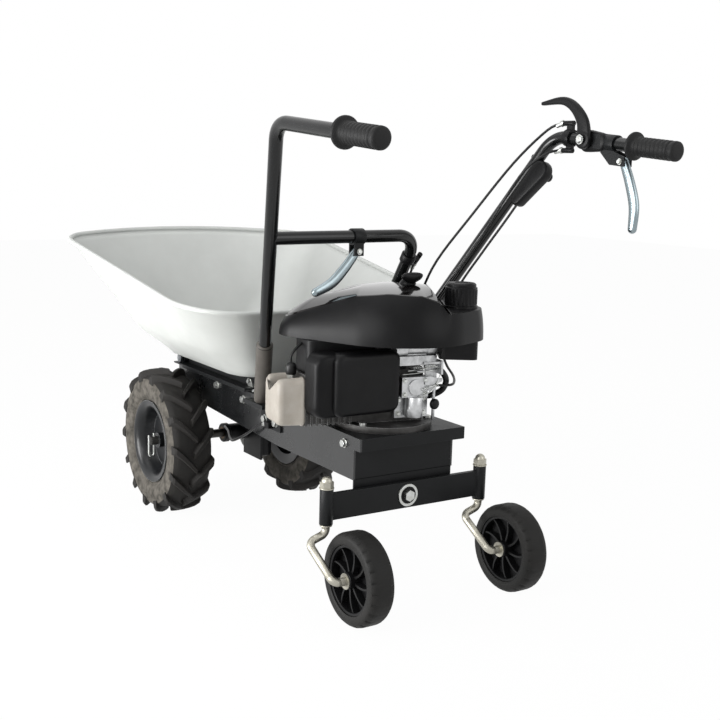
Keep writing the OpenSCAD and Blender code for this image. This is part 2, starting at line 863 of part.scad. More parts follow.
module right_caster_rod() {
    color("#b7b6ad") from_axle() translate([0, -caster_span / 2, 0]) caster_rod();
}

module left_caster_hub() {
    color("#18191b") from_axle() translate([0, caster_span / 2, 0]) caster_hub();
}

module right_caster_hub() {
    color("#18191b") from_axle() translate([0, -caster_span / 2, 0]) caster_hub();
}

module left_caster_tyre() {
    color("#2c2c2d") from_axle() translate([0, caster_span / 2, 0]) caster_tyre();
}

module right_caster_tyre() {
    color("#2c2c2d") from_axle() translate([0, -caster_span / 2, 0]) caster_tyre();
}

// Handles

module handlebar() {
    path = [handle_foot + handle_dir * 16, handle_bend, handle_end - grip_dir * 6];
    bent_tube(path, handle_r, handle_wall, 55);
}

module left_handlebar() {
    color("#141516") from_axle() handlebar();
}

module right_handlebar() {
    color("#141516") from_axle() mirror([0, 1, 0]) handlebar();
}

// A foot bracket: a plate bolted to the side of the chassis, a ledge and the handle's socket
module handle_brackets() {
    color("#3a3b3d") from_axle() both_sides() difference() {
        union() {
            block([-436, side_y, deck_z - 50], [-354, side_y + plate_t, deck_z + 2 + ledge_t]);
            block([-436, side_y, deck_z + 2], [-354, side_y + 46, deck_z + 2 + ledge_t]);
            rod(handle_foot - handle_dir * 4, handle_foot + handle_dir * 160, handle_r + 4);
        }
        rod(handle_foot + handle_dir * 15, handle_foot + handle_dir * 170, handle_r + fit);
        for (p = foot_bolts) cross_bar(p[0], p[1], side_y - 1, side_y + plate_t + 1, hole_r);
    }
}

// The brace tube: from the left upright across to the right, then down to the deck
module cross_tube() {
    start = handle_at(cross_z);
    color("#141516") from_axle() difference() {
        bent_tube([start, cross_corner, cross_foot + [10, 0, -15]], handle_r, handle_wall, 48);
        rod(handle_at(cross_z - 60), handle_at(cross_z + 60), handle_r + fit);
        block(cross_foot - [80, 60, 60], cross_foot + [80, 60, 0]);
    }
}

module handle_grips() {
    front = handle_end - grip_dir * grip_l;
    color("#2a2a2b") from_axle() both_sides() difference() {
        union() {
            rod(front, handle_end, grip_d / 2);
            rod(front, front + grip_dir * 7, guard_d / 2);
            for (i = [1 : 4])
                rod(front + grip_dir * (16 * i + 8), front + grip_dir * (16 * i + 14), grip_d / 2 + 1);
        }
        rod(front - grip_dir, handle_end - grip_dir * 4, handle_r + fit);
    }
}

// Controls

function grip_tube(x) = flip(handle_bend + grip_dir * ((x - handle_bend[0]) / grip_dir[0]));

module tube_ring(a, b, wall) {
    difference() {
        rod(a, b, handle_r + wall);
        rod(a - unit(b - a), b + unit(b - a), handle_r + fit);
    }
}

// Clamps that carry the levers: beside the right grip, under it, and under the cross tube
module lever_brackets() {
    reverse_way = unit(cross_corner - handle_at(cross_z));
    reverse_far = (handle_at(cross_z)[1] - reverse_pivot[1]) / -reverse_way[1];
    reverse_mid = handle_at(cross_z) + reverse_way * reverse_far;
    lever_end = lever_face + drive_lever_t;
    plate = 3;
    color("#1c1d1f") from_axle() {
        tube_ring(grip_tube(-856), grip_tube(-876), clamp_wall);
        upright(lever_face - plate - gap, lever_face - gap) polygon([
            [-876, handle_z - 25],
            [-876, handle_z + 1],
            [drive_pivot[0] + 12, drive_pivot[2] + 11],
            [drive_pivot[0] + 12, drive_pivot[2] - 11]
        ]);
        cross_bar(drive_pivot[0], drive_pivot[2], lever_face - plate, lever_end + gap, 4);
        cross_bar(drive_pivot[0], drive_pivot[2], lever_end + gap, lever_end + 5, 8);
        tube_ring(grip_tube(-880), grip_tube(-904), clamp_wall);
        for (y = [brake_pivot[1] - 9, brake_pivot[1] + 9]) upright(y - plate / 2, y + plate / 2) polygon([
            [brake_pivot[0] - 9, brake_pivot[2] - 9],
            [brake_pivot[0] - 9, brake_pivot[2] + 8],
            [-904, handle_z - 28],
            [-880, handle_z - 25],
            [-872, handle_z - 30],
            [-896, brake_pivot[2] - 6]
        ]);
        cross_bar(brake_pivot[0], brake_pivot[2], brake_pivot[1] - 12, brake_pivot[1] + 12, 3);
        tube_ring(reverse_mid - reverse_way * 12, reverse_mid + reverse_way * 12, clamp_wall);
        for (s = [1, -1]) block(
            [reverse_pivot[0] + s * 9 - plate / 2, reverse_pivot[1] - 10, reverse_pivot[2] - 8],
            [reverse_pivot[0] + s * 9 + plate / 2, reverse_pivot[1] + 10, cross_z - handle_r + 3]
        );
        translate(reverse_pivot - [12, 0, 0]) rotate([0, 90, 0]) cylinder(h = 24, r = 3);
    }
}

// The hooked drive lever, beside the right grip tube
module drive_lever() {
    bends = [[0, 0, 14], [6, 30, 11.5], [21, 51, 10], [42, 66, 8.5], [67, 71, 7], [112, 67, 3.5]];
    color("#1a1b1c") from_axle() translate([drive_pivot[0], lever_face + drive_lever_t, drive_pivot[2]])
        rotate([90, 0, 0]) difference() {
            linear_extrude(drive_lever_t) for (i = [0 : len(bends) - 2]) hull() {
                translate([bends[i][0], bends[i][1]]) circle(r = bends[i][2], $fn = 32);
                translate([bends[i + 1][0], bends[i + 1][1]]) circle(r = bends[i + 1][2], $fn = 32);
            }
            translate([0, 0, -1]) cylinder(h = drive_lever_t + 2, r = 4 + fit);
        }
}

// A pressed steel hand lever drawn along -Y of its own plane, with its pivot at the origin
module hand_lever(l, thick) {
    bends = [[0, 0, 8], [-4, -0.30 * l, 7], [-2, -0.65 * l, 6], [0.16 * l, -0.93 * l, 5]];
    difference() {
        linear_extrude(thick) for (i = [0 : len(bends) - 2]) hull() {
            translate([bends[i][0], bends[i][1]]) circle(r = bends[i][2], $fn = 32);
            translate([bends[i + 1][0], bends[i + 1][1]]) circle(r = bends[i + 1][2], $fn = 32);
        }
        translate([0, 0, -1]) cylinder(h = thick + 2, r = 3 + fit);
    }
}

module brake_lever() {
    thick = 13;
    color("#b8c4c8") from_axle() translate(brake_pivot + [0, thick / 2, 0]) rotate([90, 0, 0])
        rotate([0, 0, -24]) hand_lever(brake_lever_l, thick);
}

module reverse_lever() {
    thick = 13;
    color("#b8c4c8") from_axle() translate(reverse_pivot - [thick / 2, 0, 0]) rotate([90, 0, 90])
        rotate([0, 0, 40]) hand_lever(reverse_lever_l, thick);
}

// The throttle's pod on the right upright, in a frame with its own Z across the tube
pod_up = flip(handle_dir);
pod_back = unit([-pod_up[2], 0, pod_up[0]]);
module at_pod() {
    side = cross(pod_up, pod_back);
    o = flip(handle_at(pod_z)) + pod_back * pod_out;
    multmatrix([
        [pod_up[0], pod_back[0], side[0], o[0]],
        [pod_up[1], pod_back[1], side[1], o[1]],
        [pod_up[2], pod_back[2], side[2], o[2]],
        [0, 0, 0, 1]
    ]) children();
}

module throttle_housing() {
    wide = 24;
    color("#151617") from_axle() at_pod() {
        difference() {
            hull() {
                translate([pod_pivot[0], pod_pivot[1], -wide / 2]) cylinder(h = wide, r = 26, $fn = 32);
                translate([-54, -6, -wide / 2]) cylinder(h = wide, r = 12, $fn = 32);
            }
            translate([-80, -pod_out, 0]) rotate([0, 90, 0]) cylinder(h = 160, r = handle_r + fit);
        }
        translate([pod_pivot[0], pod_pivot[1], wide / 2]) cylinder(h = 9, r = 4);
    }
}

module throttle_lever() {
    face = 12 + gap;
    color("#1d1e20") from_axle() at_pod() translate([pod_pivot[0], pod_pivot[1], face]) difference() {
        union() {
            cylinder(h = 7, r = 9);
            hull() {
                translate([0, -9, 1]) cylinder(h = 5, r = 6, $fn = 32);
                translate([8, -58, 1]) cylinder(h = 5, r = 5, $fn = 32);
            }
        }
        translate([0, 0, -1]) cylinder(h = 9, r = 4 + fit);
    }
}

// Cable clamps: two ferrules at the right bend, one at the cross tube and one on the chassis
module cable_clamps() {
    top = [-760, -grip_span / 2, handle_z + 23];
    low = [-760, -grip_span / 2, handle_z - 27];
    x = -782;
    ring_a = grip_tube(x + 8);
    ring_b = grip_tube(x - 8);
    leg = mid(cross_corner, cross_foot, 0.13);
    leg_way = unit(cross_foot - cross_corner);
    color("#17181a") from_axle() {
        tube_ring(ring_a, ring_b, 4);
        for (p = [top, low]) difference() {
            union() {
                rod(p - [30, 0, 0], p, 5);
                block([x - 7, p[1] - 4, min(p[2], ring_a[2]) + (p == top ? handle_r + 2 : 4)],
                    [x + 7, p[1] + 4, max(p[2], ring_a[2]) - (p == top ? 4 : handle_r + 2)]);
            }
            rod(p - [40, 0, 0], p + [1, 0, 0], 1.2);
        }
        difference() {
            union() {
                tube_ring(leg - leg_way * 8, leg + leg_way * 8, 3);
                rod(leg + [-6, -26, 8], leg + [14, -26, -12], 5);
                block(leg + [-5, -24, -6], leg + [7, -handle_r - 1, 4]);
            }
            rod(leg + [-12, -26, 14], leg + [20, -26, -18], 1.2);
        }
        difference() {
            block([-408, side_y + plate_t, deck_z - 46], [-388, side_y + plate_t + 12, deck_z - 34]);
            rod([-420, side_y + plate_t + 7, deck_z - 40], [-380, side_y + plate_t + 7, deck_z - 40], 1.2);
        }
    }
}

// Routes of the control cables, each from its ferrule
drive_route = [
    [-759, -300, 895], [-728, -290, 882], [-688, -245, 819], [-636, -190, 717],
    [-585, -148, 625], [-545, -140, 552], [-510, -140, 480], [-488, -126, 400], [-485, -105, 321]
];
brake_route = [
    [-759, -300, 845], [-742, -276, 837], [-704, -248, 794], [-622, -222, 665],
    [-545, -190, 544], [-480, -158, 442], [-430, -118, 365], [-420, -101, 321]
];
throttle_route = [
    flip(handle_at(pod_z)) + pod_up * -66.5 + pod_back * (pod_out - 6),
    [-660, -251, 702], [-622, -230, 640], [-586, -208, 576],
    [-562, -190, 512], [-568, -178, 456], [-602, -168, 420], [-650, -150, 405],
    [-690, -122, 401], [-706, -100, 400], [-697, -73.9, 400]
];
reverse_route = [
    [-545, -121, 617], [-535, -122, 600], [-515, -121, 560], [-490, -119, 500],
    [-466, -114, 420], [-455, -100, 321]
];
gear_route = [
    [-30, 41, 190], [-90, 62, 194], [-170, 96, 198], [-240, 122, 212],
    [-310, 128, 242], [-362, 124.5, 274], [-387, 124, 280]
];
module control_cables() {
    color("#131313") from_axle()
        for (route = [drive_route, brake_route, throttle_route, reverse_route, gear_route])
            swept(route, cable_d / 2, 2);
}

// Engine

module at_engine() {
    translate([-engine_reach, 0, 0]) rotate([0, 0, -engine_yaw]) children();
}

module at_cowl() {
    translate([-engine_reach, 0, 0]) rotate([0, 0, -cowl_yaw]) children();
}

module engine_bolt_places() {
    for (a = [20, 130, 250, 310]) rotate([0, 0, a]) translate([base_d / 2 - 9, 0, 0]) children();
}

// The cast block: base flange, crankcase with a flat rear side, and the finned cylinder
module engine_block() {
    z = engine_z;
    color("#9b9da0") from_axle() at_engine() difference() {
        union() {
            translate([0, 0, z]) cylinder(h = 12, r = base_d / 2);
            intersection() {
                translate([0, 0, z]) cylinder(h = case_h, r = case_r);
                block([-case_flat, -case_r - 1, z], [case_r + 1, case_r + 1, z + case_h]);
            }
            block([-38, 40, z + 16], [40, head_y, z + 104]);
            for (i = [0 : 8])
                block([-40, head_y - 92 + i * 11, z + 13], [52, head_y - 88 + i * 11, z + 108]);
        }
        translate([0, 0, z + 14]) cylinder(h = case_h - 24, r = case_flat - 6);
        translate([0, 0, z - 1]) cylinder(h = case_h + 2, r = crank_r + fit);
        engine_bolt_places() translate([0, 0, z - 1]) cylinder(h = 14, r = hole_r);
        engine_bolt_places() translate([0, 0, z + 12]) cylinder(h = case_h, r = bolt_d * 1.1);
    }
}

module head_cover() {
    z = engine_z;
    color("#c9c4b8") from_axle() at_engine() difference() {
        hull() for (x = [-30, 34], h = [z + 24, z + 92])
            translate([x, head_y, h]) rotate([-90, 0, 0]) cylinder(h = 52, r = 10, $fn = 32);
        block([-18, head_y - 1, z + 84], [20, head_y + 60, z + 110]);
    }
}

module spark_plug() {
    z = engine_z;
    plug_y = head_y + 14;
    color("#1b1b1c") from_axle() at_engine() {
        translate([2, plug_y, z + 84]) cylinder(h = 22, r = 8);
        translate([2, plug_y, z + 106]) cylinder(h = 18, r = 10);
        bent_bar([[2, plug_y, z + 124], [2, plug_y, z + 146], [8, plug_y - 34, z + cowl_up - 4]], 2.5, 10);
    }
}

// The air filter's housing: a cup whose face looks to the rear, with a lobe over the cylinder
module air_filter() {
    face = -700;
    back = -engine_reach - case_flat - 6;
    low = deck_z + 36;
    high = deck_z + 154;
    right = 8;
    left = 166;
    wall = 3;
    round_r = 14;
    module cup(grow, x0, x1) {
        hull() for (y = [right + round_r, left - round_r], z = [low + round_r, high - round_r])
            translate([x0, y, z]) rotate([0, 90, 0]) cylinder(h = x1 - x0, r = round_r - grow, $fn = 32);
    }
    color("#1a1a1b") from_axle() {
        difference() {
            cup(0, face, back);
            cup(wall, face + wall, back + 1);
        }
        block([back, 110, deck_z + 108.3], [back + 62, left - 4, high - 6]);
        block([back - 4, 108, low + 6], [back + 16, left - 1.5, deck_z + 110]);
    }
}

// Carburettor and its linkage on the crankcase's rear flat
module carburettor() {
    z = engine_z;
    face = -case_flat - 0.5;
    color("#b4b7b9") from_axle() at_engine() {
        block([face - 26, -62, z + 62], [face, -8, z + 100]);
        block([face - 8, -70, z + 20], [face, -2, z + 62]);
        translate([face - 20, -36, z + 24]) cylinder(h = 38, r = 17);
        translate([face - 30, -36, z + 81]) rotate([0, 90, 0]) cylinder(h = 12, r = 15);
        block([face - 16, -84, z + 70], [face - 12, -60, z + 130]);
        block([face - 34, -88, z + 104], [face - 10, -84, z + 130]);
        block([face - 30, -84, z + 124], [face - 12, -50, z + 128]);
        translate([face - 14, -80, z + 12]) cylinder(h = 60, r = 3);
    }
}

module breather_hose() {
    color("#161616") from_axle() at_engine() swept([
        [-26, -70.5, 432], [-32, -86, 432], [-38, -102, 424], [-40, -112, 406],
        [-32, -108, 386], [-20, -92, 374], [-10, -76, 372]
    ], 6, 2);
}

// The silencer on the cylinder's front side
module muffler() {
    z = engine_z;
    color("#3b3a38") from_axle() at_engine() {
        hull() for (y = [82, 148], h = [z + 34, z + 92])
            translate([60, y, h]) rotate([0, 90, 0]) cylinder(h = 46, r = 8, $fn = 32);
        translate([52.2, 115, z + 62]) rotate([0, 90, 0]) cylinder(h = 8, r = 14);
    }
}

// The tank under the cowl's rear end; its neck comes up through the cowl's shelf
module fuel_tank() {
    round_r = 12;
    low = cowl_z - 36;
    color("#161616") from_axle() at_cowl() difference() {
        union() {
            hull() for (x = [round_r - tank_half, tank_half - round_r], y = tank_y + [round_r, -round_r])
                translate([x, y, low]) cylinder(h = tank_top - low, r = round_r, $fn = 32);
            translate([0, neck_y, tank_top - 1]) cylinder(h = shelf_z + 28 - tank_top, r = neck_r);
        }
        block([-tank_half + 5, tank_y[0] + 5, low + 3], [tank_half - 5, tank_y[1] - 5, tank_top - 3]);
        translate([0, neck_y, tank_top - 10]) cylinder(h = 80, r = neck_r - 3);
    }
}

// The cowl's outside, or its inside when inset by the wall: a long dome with a shelf at the rear end
module cowl_form(inset) {
    difference() {
        hull() {
            translate([0, -20, cowl_z + inset]) cylinder(h = 10, r = 150 - inset, $fn = 48);
            translate([0, -100, cowl_z + inset]) cylinder(h = 56 - 2 * inset, r = 85 - inset, $fn = 48);
            translate([0, 142, cowl_z + inset]) cylinder(h = 12 - inset, r = 60 - inset, $fn = 48);
            translate([0, -20, cowl_z + 50]) cylinder(h = 2, r = 128 - inset, $fn = 48);
            translate([0, -16, cowl_z + 80]) cylinder(h = 2, r = 98 - inset, $fn = 48);
            translate([0, -58, crown_z - 8 - inset]) cylinder(h = 2, r = 60 - inset, $fn = 48);
            translate([0, -8, crown_z - 2 - inset]) cylinder(h = 2, r = 62 - inset, $fn = 48);
        }
        block([-200, -240, shelf_z - inset], [200, shelf_y + inset, crown_z + 20]);
    }
}

// The cowl: the domed shell, a neck down to the block, the starter's post and the rope's guide
module cowl() {
    neck_ring_h = cowl_z - engine_z - case_h;
    color("#1d1d1f") from_axle() difference() {
        union() {
            at_cowl() difference() {
                cowl_form(0);
                cowl_form(cowl_wall);
            }
            translate([-engine_reach, 0, engine_z + case_h]) difference() {
                cylinder(h = neck_ring_h + cowl_wall, r = neck_ring_r);
                translate([0, 0, -1]) cylinder(h = 100, r = neck_ring_r - cowl_wall);
            }
            translate([-engine_reach, 0, crown_z - 66]) cylinder(h = 64, r = 8);
            rod(starter_seat - starter_dir * 18, starter_seat, 8);
        }
        translate([-engine_reach, 0, cowl_z - 1]) cylinder(h = cowl_wall + 2, r = neck_ring_r - cowl_wall);
        at_cowl() block(
            [-tank_half - 1, tank_y[0] - 1, cowl_z - 1],
            [tank_half + 1, tank_y[1] + 1, cowl_z + cowl_wall + 1]
        );
        at_cowl() translate([0, neck_y, shelf_z - cowl_wall - 1]) cylinder(h = 80, r = neck_r + 1);
        rod(starter_seat - starter_dir * 40, starter_seat + starter_dir * 10, 4);
    }
}

module fuel_cap() {
    low = shelf_z + 1.5;
    top = crown_z + 5;
    cap_r = neck_r + 7;
    color("#171718") from_axle() at_cowl() translate([0, neck_y, 0]) difference() {
        union() {
            translate([0, 0, low]) cylinder(h = top - low - 8, r = cap_r);
            translate([0, 0, top - 8]) cylinder(h = 8, r = cap_r - 2);
            for (i = [0 : 17]) rotate([0, 0, i * 20])
                translate([cap_r - 1, -2.5, low + 6]) cube([2, 5, top - low - 16]);
        }
        translate([0, 0, low - 1]) cylinder(h = top - low - 5, r = neck_r + fit * 2);
    }
}

module starter_handle() {
    seat = starter_seat + starter_dir * gap;
    bar = [0, 16, 0];
    color("#161617") from_axle() {
        rod(seat - starter_dir * 16, seat, 2.5);
        rod(seat, seat + starter_dir * 8, 7);
        hull() {
            translate(seat + starter_dir * 12 - bar) sphere(r = 7, $fn = 24);
            translate(seat + starter_dir * 12 + bar) sphere(r = 7, $fn = 24);
        }
    }
}

module starter_reel() {
    low = crown_z - 64;
    color("#cfcab8") from_axle() translate([-engine_reach, 0, low]) rotate_extrude() polygon([
        [8 + fit, 0], [reel_r, 0], [reel_r, 3], [reel_r - 12, 5],
        [reel_r - 12, 13], [reel_r, 15], [reel_r, 18], [8 + fit, 18]
    ]);
}

// The crankshaft, with the belt's first pulley below the deck
module crankshaft() {
    low = belt_z - pulley_h / 2 - 4;
    color("#8a8c90") from_axle() translate([-engine_reach, 0, 0]) {
        translate([0, 0, low]) cylinder(h = cowl_z + 24 - low, r = crank_r);
        translate([0, 0, belt_z]) pulley(engine_pulley_r, crank_r);
    }
}

// The flywheel with its fan blades, inside the cowl
module flywheel() {
    z = cowl_z + cowl_wall + 3;
    color("#7b7d80") from_axle() translate([-engine_reach, 0, z]) difference() {
        union() {
            cylinder(h = 10, r = 78);
            for (i = [0 : 11]) rotate([0, 0, i * 30]) translate([38, -2, 9]) cube([38, 4, 9]);
            cylinder(h = 18, r = 24);
        }
        translate([0, 0, -1]) cylinder(h = 40, r = crank_r + fit);
    }
}

// Tub and its cradle

// The tub's outline at one level, with round corners; rear and front ends at x0 and x1
module tub_level(x0, x1, half, rear_r, front_r, t) {
    for (s = [1, -1]) {
        translate([x0 + rear_r, s * (half - rear_r), 0]) cylinder(h = t, r = rear_r, $fn = 40);
        translate([x1 - front_r, s * (half - front_r), 0]) cylinder(h = t, r = front_r, $fn = 40);
    }
}

rim_tilt = atan((tub_front_z - tub_back_z) / (tub_reach + tub_back));
rim_len = norm([tub_reach + tub_back - rim_roll_d, tub_front_z - tub_back_z]);
rim_mid = [(tub_reach - tub_back) / 2, 0, (tub_front_z + tub_back_z) / 2];

module at_rim() {
    translate(rim_mid) rotate([0, -rim_tilt, 0]) children();
}

module tub_form(inset, over) {
    hull() {
        translate([0, 0, tub_floor_z + inset])
            tub_level(-300 + inset, 92 - inset, 126 - inset, 60 - inset, 70 - inset, 1);
        translate([0, 0, tub_floor_z + 16])
            tub_level(-325 + inset, 124 - inset, 152 - inset, 80 - inset, 90 - inset, 1);
        translate([0, 0, tub_floor_z + 60])
            tub_level(-362 + inset, 178 - inset, 206 - inset, 95 - inset, 120 - inset, 1);
        at_rim() translate([0, 0, -1 + over]) linear_extrude(1)
            offset(delta = -inset) polygon([for (p = rim_path) [p[0], p[1]]]);
    }
}

// One corner of the rim's outline, from angle a0 to a1 about a centre
function rim_corner(cx, cy, r, a0, a1, steps) = [
    for (k = [0 : steps])
        let (a = a0 + (a1 - a0) * k / steps)
        [cx + r * cos(a), cy + r * sin(a), 0]
];
// The front lip bows out between its two corners and meets them smoothly
lip_y = tub_half - lip_r;
lip_end = lip_y + lip_r * sin(lip_turn);
lip_bow = lip_end * tan(lip_turn) / 2;
lip_x = rim_len / 2 - lip_bow - lip_r * cos(lip_turn);
rear_y = tub_half - rear_in - rear_r;
rear_x = rear_r - rim_len / 2;
rim_path = concat(
    rim_corner(lip_x, lip_y, lip_r, lip_turn, 90, 6),
    rim_corner(rear_x, rear_y, rear_r, 90, 180, 7),
    rim_corner(rear_x, -rear_y, rear_r, 180, 270, 7),
    rim_corner(lip_x, -lip_y, lip_r, 270, 360 - lip_turn, 6),
    [for (k = [-4 : 4]) let (t = k / 5) [rim_len / 2 - lip_bow * t * t, lip_end * t, 0]]
);

// The rolled rim: a closed eight-sided ring along the outline
module rim_roll() {
    count = len(rim_path);
    sides = 8;
    corners = [
        for (i = [0 : count - 1])
            let (
                t = unit(rim_path[(i + 1) % count] - rim_path[(i + count - 1) % count]),
                n = [t[1], -t[0], 0]
            )
            for (k = [0 : sides - 1])
                let (a = 360 * (k + 0.5) / sides)
                    rim_path[i] + rim_roll_d / 2 * (cos(a) * n + [0, 0, sin(a)])
    ];
    function at(i, k) = (i % count) * sides + k % sides;
    polyhedron(points = corners, faces = [
        for (i = [0 : count - 1], k = [0 : sides - 1], half = [0, 1])
            half == 0 ? [at(i, k), at(i, k + 1), at(i + 1, k + 1)]
            : [at(i, k), at(i + 1, k + 1), at(i + 1, k)]
    ]);
}

module tub() {
    color("#cfd2cf") from_axle() {
        difference() {
            tub_form(0, 0);
            tub_form(tub_wall, 1);
        }
        at_rim() rim_roll();
    }
}

// The cradle under the tub: two rails, cross bars and the hinge barrel
module tub_cradle() {
    low = front_top + 3;
    color("#17181a") from_axle() difference() {
        union() {
            both_sides() block([-285, rail_y, low], [hinge_x + 12, rail_y + rail_w, tub_floor_z]);
            for (x = [-285, -120]) block([x, -rail_y, low], [x + 24, rail_y, tub_floor_z]);
            cross_bar(hinge_x, hinge_z, -inner_y + 1, inner_y - 1, barrel_r);
        }
        cross_bar(hinge_x, hinge_z, -side_y, side_y, hinge_pin_d / 2 + fit);
        both_sides() cross_bar(-267, low + 11, rail_y - 1, rail_y + rail_w + 20, 4 + fit);
    }
}

// The catch that holds the tub down, on the outside of the left rail
module tub_latch() {
    y = rail_y + rail_w;
    z = front_top + 14;
    color("#b9bcc0") from_axle() {
        upright(y + gap, y + gap + 4)
            polygon([[-274, z + 5], [-260, z + 5], [-252, z - 4], [-280, z - 22], [-286, z - 12]]);
        cross_bar(-267, z, rail_y + 1, y + gap + 8, 4);
    }
}

left_side_plate();
right_side_plate();
rear_plate();
engine_deck();
front_crossmember();
tub_rest();
hinge_pin();
chassis_bolts();
gear_case();
gearbox_hanger();
axle_bushes();
axle_shaft();
worm_wheel();
worm_shaft();
v_belt();
tensioner();
left_rim();
right_rim();
left_tyre();
right_tyre();
wheel_pins();
caster_beam();
beam_bushes();
beam_bolt();
left_caster_rod();
right_caster_rod();
left_caster_hub();
right_caster_hub();
left_caster_tyre();
right_caster_tyre();
left_handlebar();
right_handlebar();
handle_brackets();
cross_tube();
handle_grips();
lever_brackets();
drive_lever();
brake_lever();
reverse_lever();
throttle_housing();
throttle_lever();
cable_clamps();
control_cables();
engine_block();
head_cover();
spark_plug();
air_filter();
carburettor();
breather_hose();
muffler();
fuel_tank();
cowl();
fuel_cap();
starter_handle();
starter_reel();
crankshaft();
flywheel();
tub();
tub_cradle();
tub_latch();
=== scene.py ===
"""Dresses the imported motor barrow: finishes, fuller visible forms, light, floor and camera.

Lengths are millimetres from the middle of the front axle, on the ground, as in the part's own source,
until place() turns them into metres in the part's frame. X runs forward, Y to the left and Z up.
"""

from __future__ import annotations

import functools
import json
import logging
import math
from dataclasses import dataclass
from enum import Enum
from typing import Any, Callable, Iterable, Sequence

import bmesh
import bpy
from mathutils import Matrix, Vector

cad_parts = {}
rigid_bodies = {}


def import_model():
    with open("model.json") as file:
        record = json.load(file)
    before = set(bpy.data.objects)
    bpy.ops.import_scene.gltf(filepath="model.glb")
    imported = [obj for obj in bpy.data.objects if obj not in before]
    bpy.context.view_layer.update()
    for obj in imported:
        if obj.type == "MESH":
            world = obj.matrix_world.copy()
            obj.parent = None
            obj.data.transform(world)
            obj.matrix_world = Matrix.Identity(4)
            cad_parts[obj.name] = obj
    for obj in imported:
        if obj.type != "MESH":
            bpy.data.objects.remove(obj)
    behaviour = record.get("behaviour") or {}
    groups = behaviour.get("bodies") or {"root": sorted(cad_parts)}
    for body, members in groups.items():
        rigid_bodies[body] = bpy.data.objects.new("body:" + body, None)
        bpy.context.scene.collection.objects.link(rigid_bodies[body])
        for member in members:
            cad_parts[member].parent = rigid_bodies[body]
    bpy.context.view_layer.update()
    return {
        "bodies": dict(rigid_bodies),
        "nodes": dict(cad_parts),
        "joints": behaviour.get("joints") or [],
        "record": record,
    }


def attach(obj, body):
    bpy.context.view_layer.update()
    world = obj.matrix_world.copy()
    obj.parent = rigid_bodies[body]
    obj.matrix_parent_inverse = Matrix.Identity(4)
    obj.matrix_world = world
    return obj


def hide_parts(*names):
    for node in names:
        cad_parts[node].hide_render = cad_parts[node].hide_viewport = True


LOG = logging.getLogger("motor_barrow")
MM = 0.001
AXLE_X = 362.0
# Where the crankshaft stands, which the engine and its cowl are set out from
CRANK_X = -630.0
# Radius of a turned form at its own axis, small enough to weld into one point
POLE = 0.01
# Points that a cord's curve has on each stretch of its route
CORD_STEPS = 5

Point = Sequence[float]
Ring = list[Vector]


def place(point: Point) -> Vector:
    """Turns a point in millimetres from the axle into metres in the part's frame."""
    return Vector(((point[0] + AXLE_X) * MM, point[1] * MM, point[2] * MM))


def turned_frame(origin: Point, yaw: float) -> Matrix:
    """Gives a frame at origin, turned about Z by yaw degrees."""
    return Matrix.Translation(Vector(origin)) @ Matrix.Rotation(math.radians(yaw), 4, "Z")


def axis_frame(origin: Point, axis: Point, hint: Point = (0.0, 0.0, 1.0)) -> Matrix:
    """Gives a frame whose own Z lies along an axis.

    Args:
        origin: The frame's origin.
        axis: The direction of its Z.
        hint: A direction that its X leans towards.

    Returns:
        The frame as a matrix in millimetres.
    """
    up = Vector(axis).normalized()
    side = Vector(hint).cross(up)
    if side.length < 1e-6:
        side = Vector((1.0, 0.0, 0.0)).cross(up)
    side.normalize()
    fore = side.cross(up)
    frame = Matrix((fore, side, up)).transposed().to_4x4()
    frame.translation = Vector(origin)
    return frame


def eased(route: Sequence[Point], steps: int) -> list[Vector]:
    """Runs a smooth curve through given points.

    Args:
        route: The points that the curve goes through.
        steps: Points on each stretch.

    Returns:
        The curve's points.
    """
    points = [Vector(p) for p in route]
    last = len(points) - 1
    curve: list[Vector] = []
    for i in range(last):
        a, b = points[max(i - 1, 0)], points[i]
        c, d = points[i + 1], points[min(i + 2, last)]
        for k in range(steps):
            t = k / steps
            square = (2 * a - 5 * b + 4 * c - d) * t * t
            cube = (3 * b - a - 3 * c + d) * t * t * t
            curve.append((2 * b + (c - a) * t + square + cube) * 0.5)
    curve.append(points[last])
    return curve


def table_value(table: Sequence[tuple[float, float]], x: float) -> float:
    """Reads a value from a table, on straight lines between its rows.

    Args:
        table: Rows of place and value, with rising places.
        x: The place to read at.

    Returns:
        The value there; past the ends, the value of the first or last row.
    """
    if x <= table[0][0]:
        return table[0][1]
    for (x0, v0), (x1, v1) in zip(table, table[1:]):
        if x <= x1:
            return v0 + (v1 - v0) * (x - x0) / (x1 - x0)
    return table[-1][1]


def linear_colour(code: str) -> tuple[float, float, float, float]:
    """Turns an sRGB hex value into a linear colour.

    Args:
        code: The colour as a hash mark and six hex digits.

    Returns:
        Linear red, green and blue, with full alpha.
    """
    parts = [int(code[i:i + 2], 16) / 255 for i in (1, 3, 5)]
    bright = [c / 12.92 if c <= 0.04045 else ((c + 0.055) / 1.055) ** 2.4 for c in parts]
    return (bright[0], bright[1], bright[2], 1.0)


def add_node(
    tree: bpy.types.NodeTree,
    kind: str,
    settings: dict[str, Any] | None = None,
    values: dict[Any, Any] | None = None,
    links: dict[Any, bpy.types.NodeSocket] | None = None,
) -> bpy.types.Node:
    """Adds a shader node with its settings, socket values and links.

    Args:
        tree: The node tree.
        kind: Blender's name for the node.
        settings: Properties of the node.
        values: Values of input sockets, by name or number.
        links: Sockets that feed inputs, by name or number.

    Returns:
        The new node.
    """
    node = tree.nodes.new(kind)
    for key, value in (settings or {}).items():
        setattr(node, key, value)
    for key, value in (values or {}).items():
        node.inputs[key].default_value = value
    for key, socket in (links or {}).items():
        tree.links.new(socket, node.inputs[key])
    return node


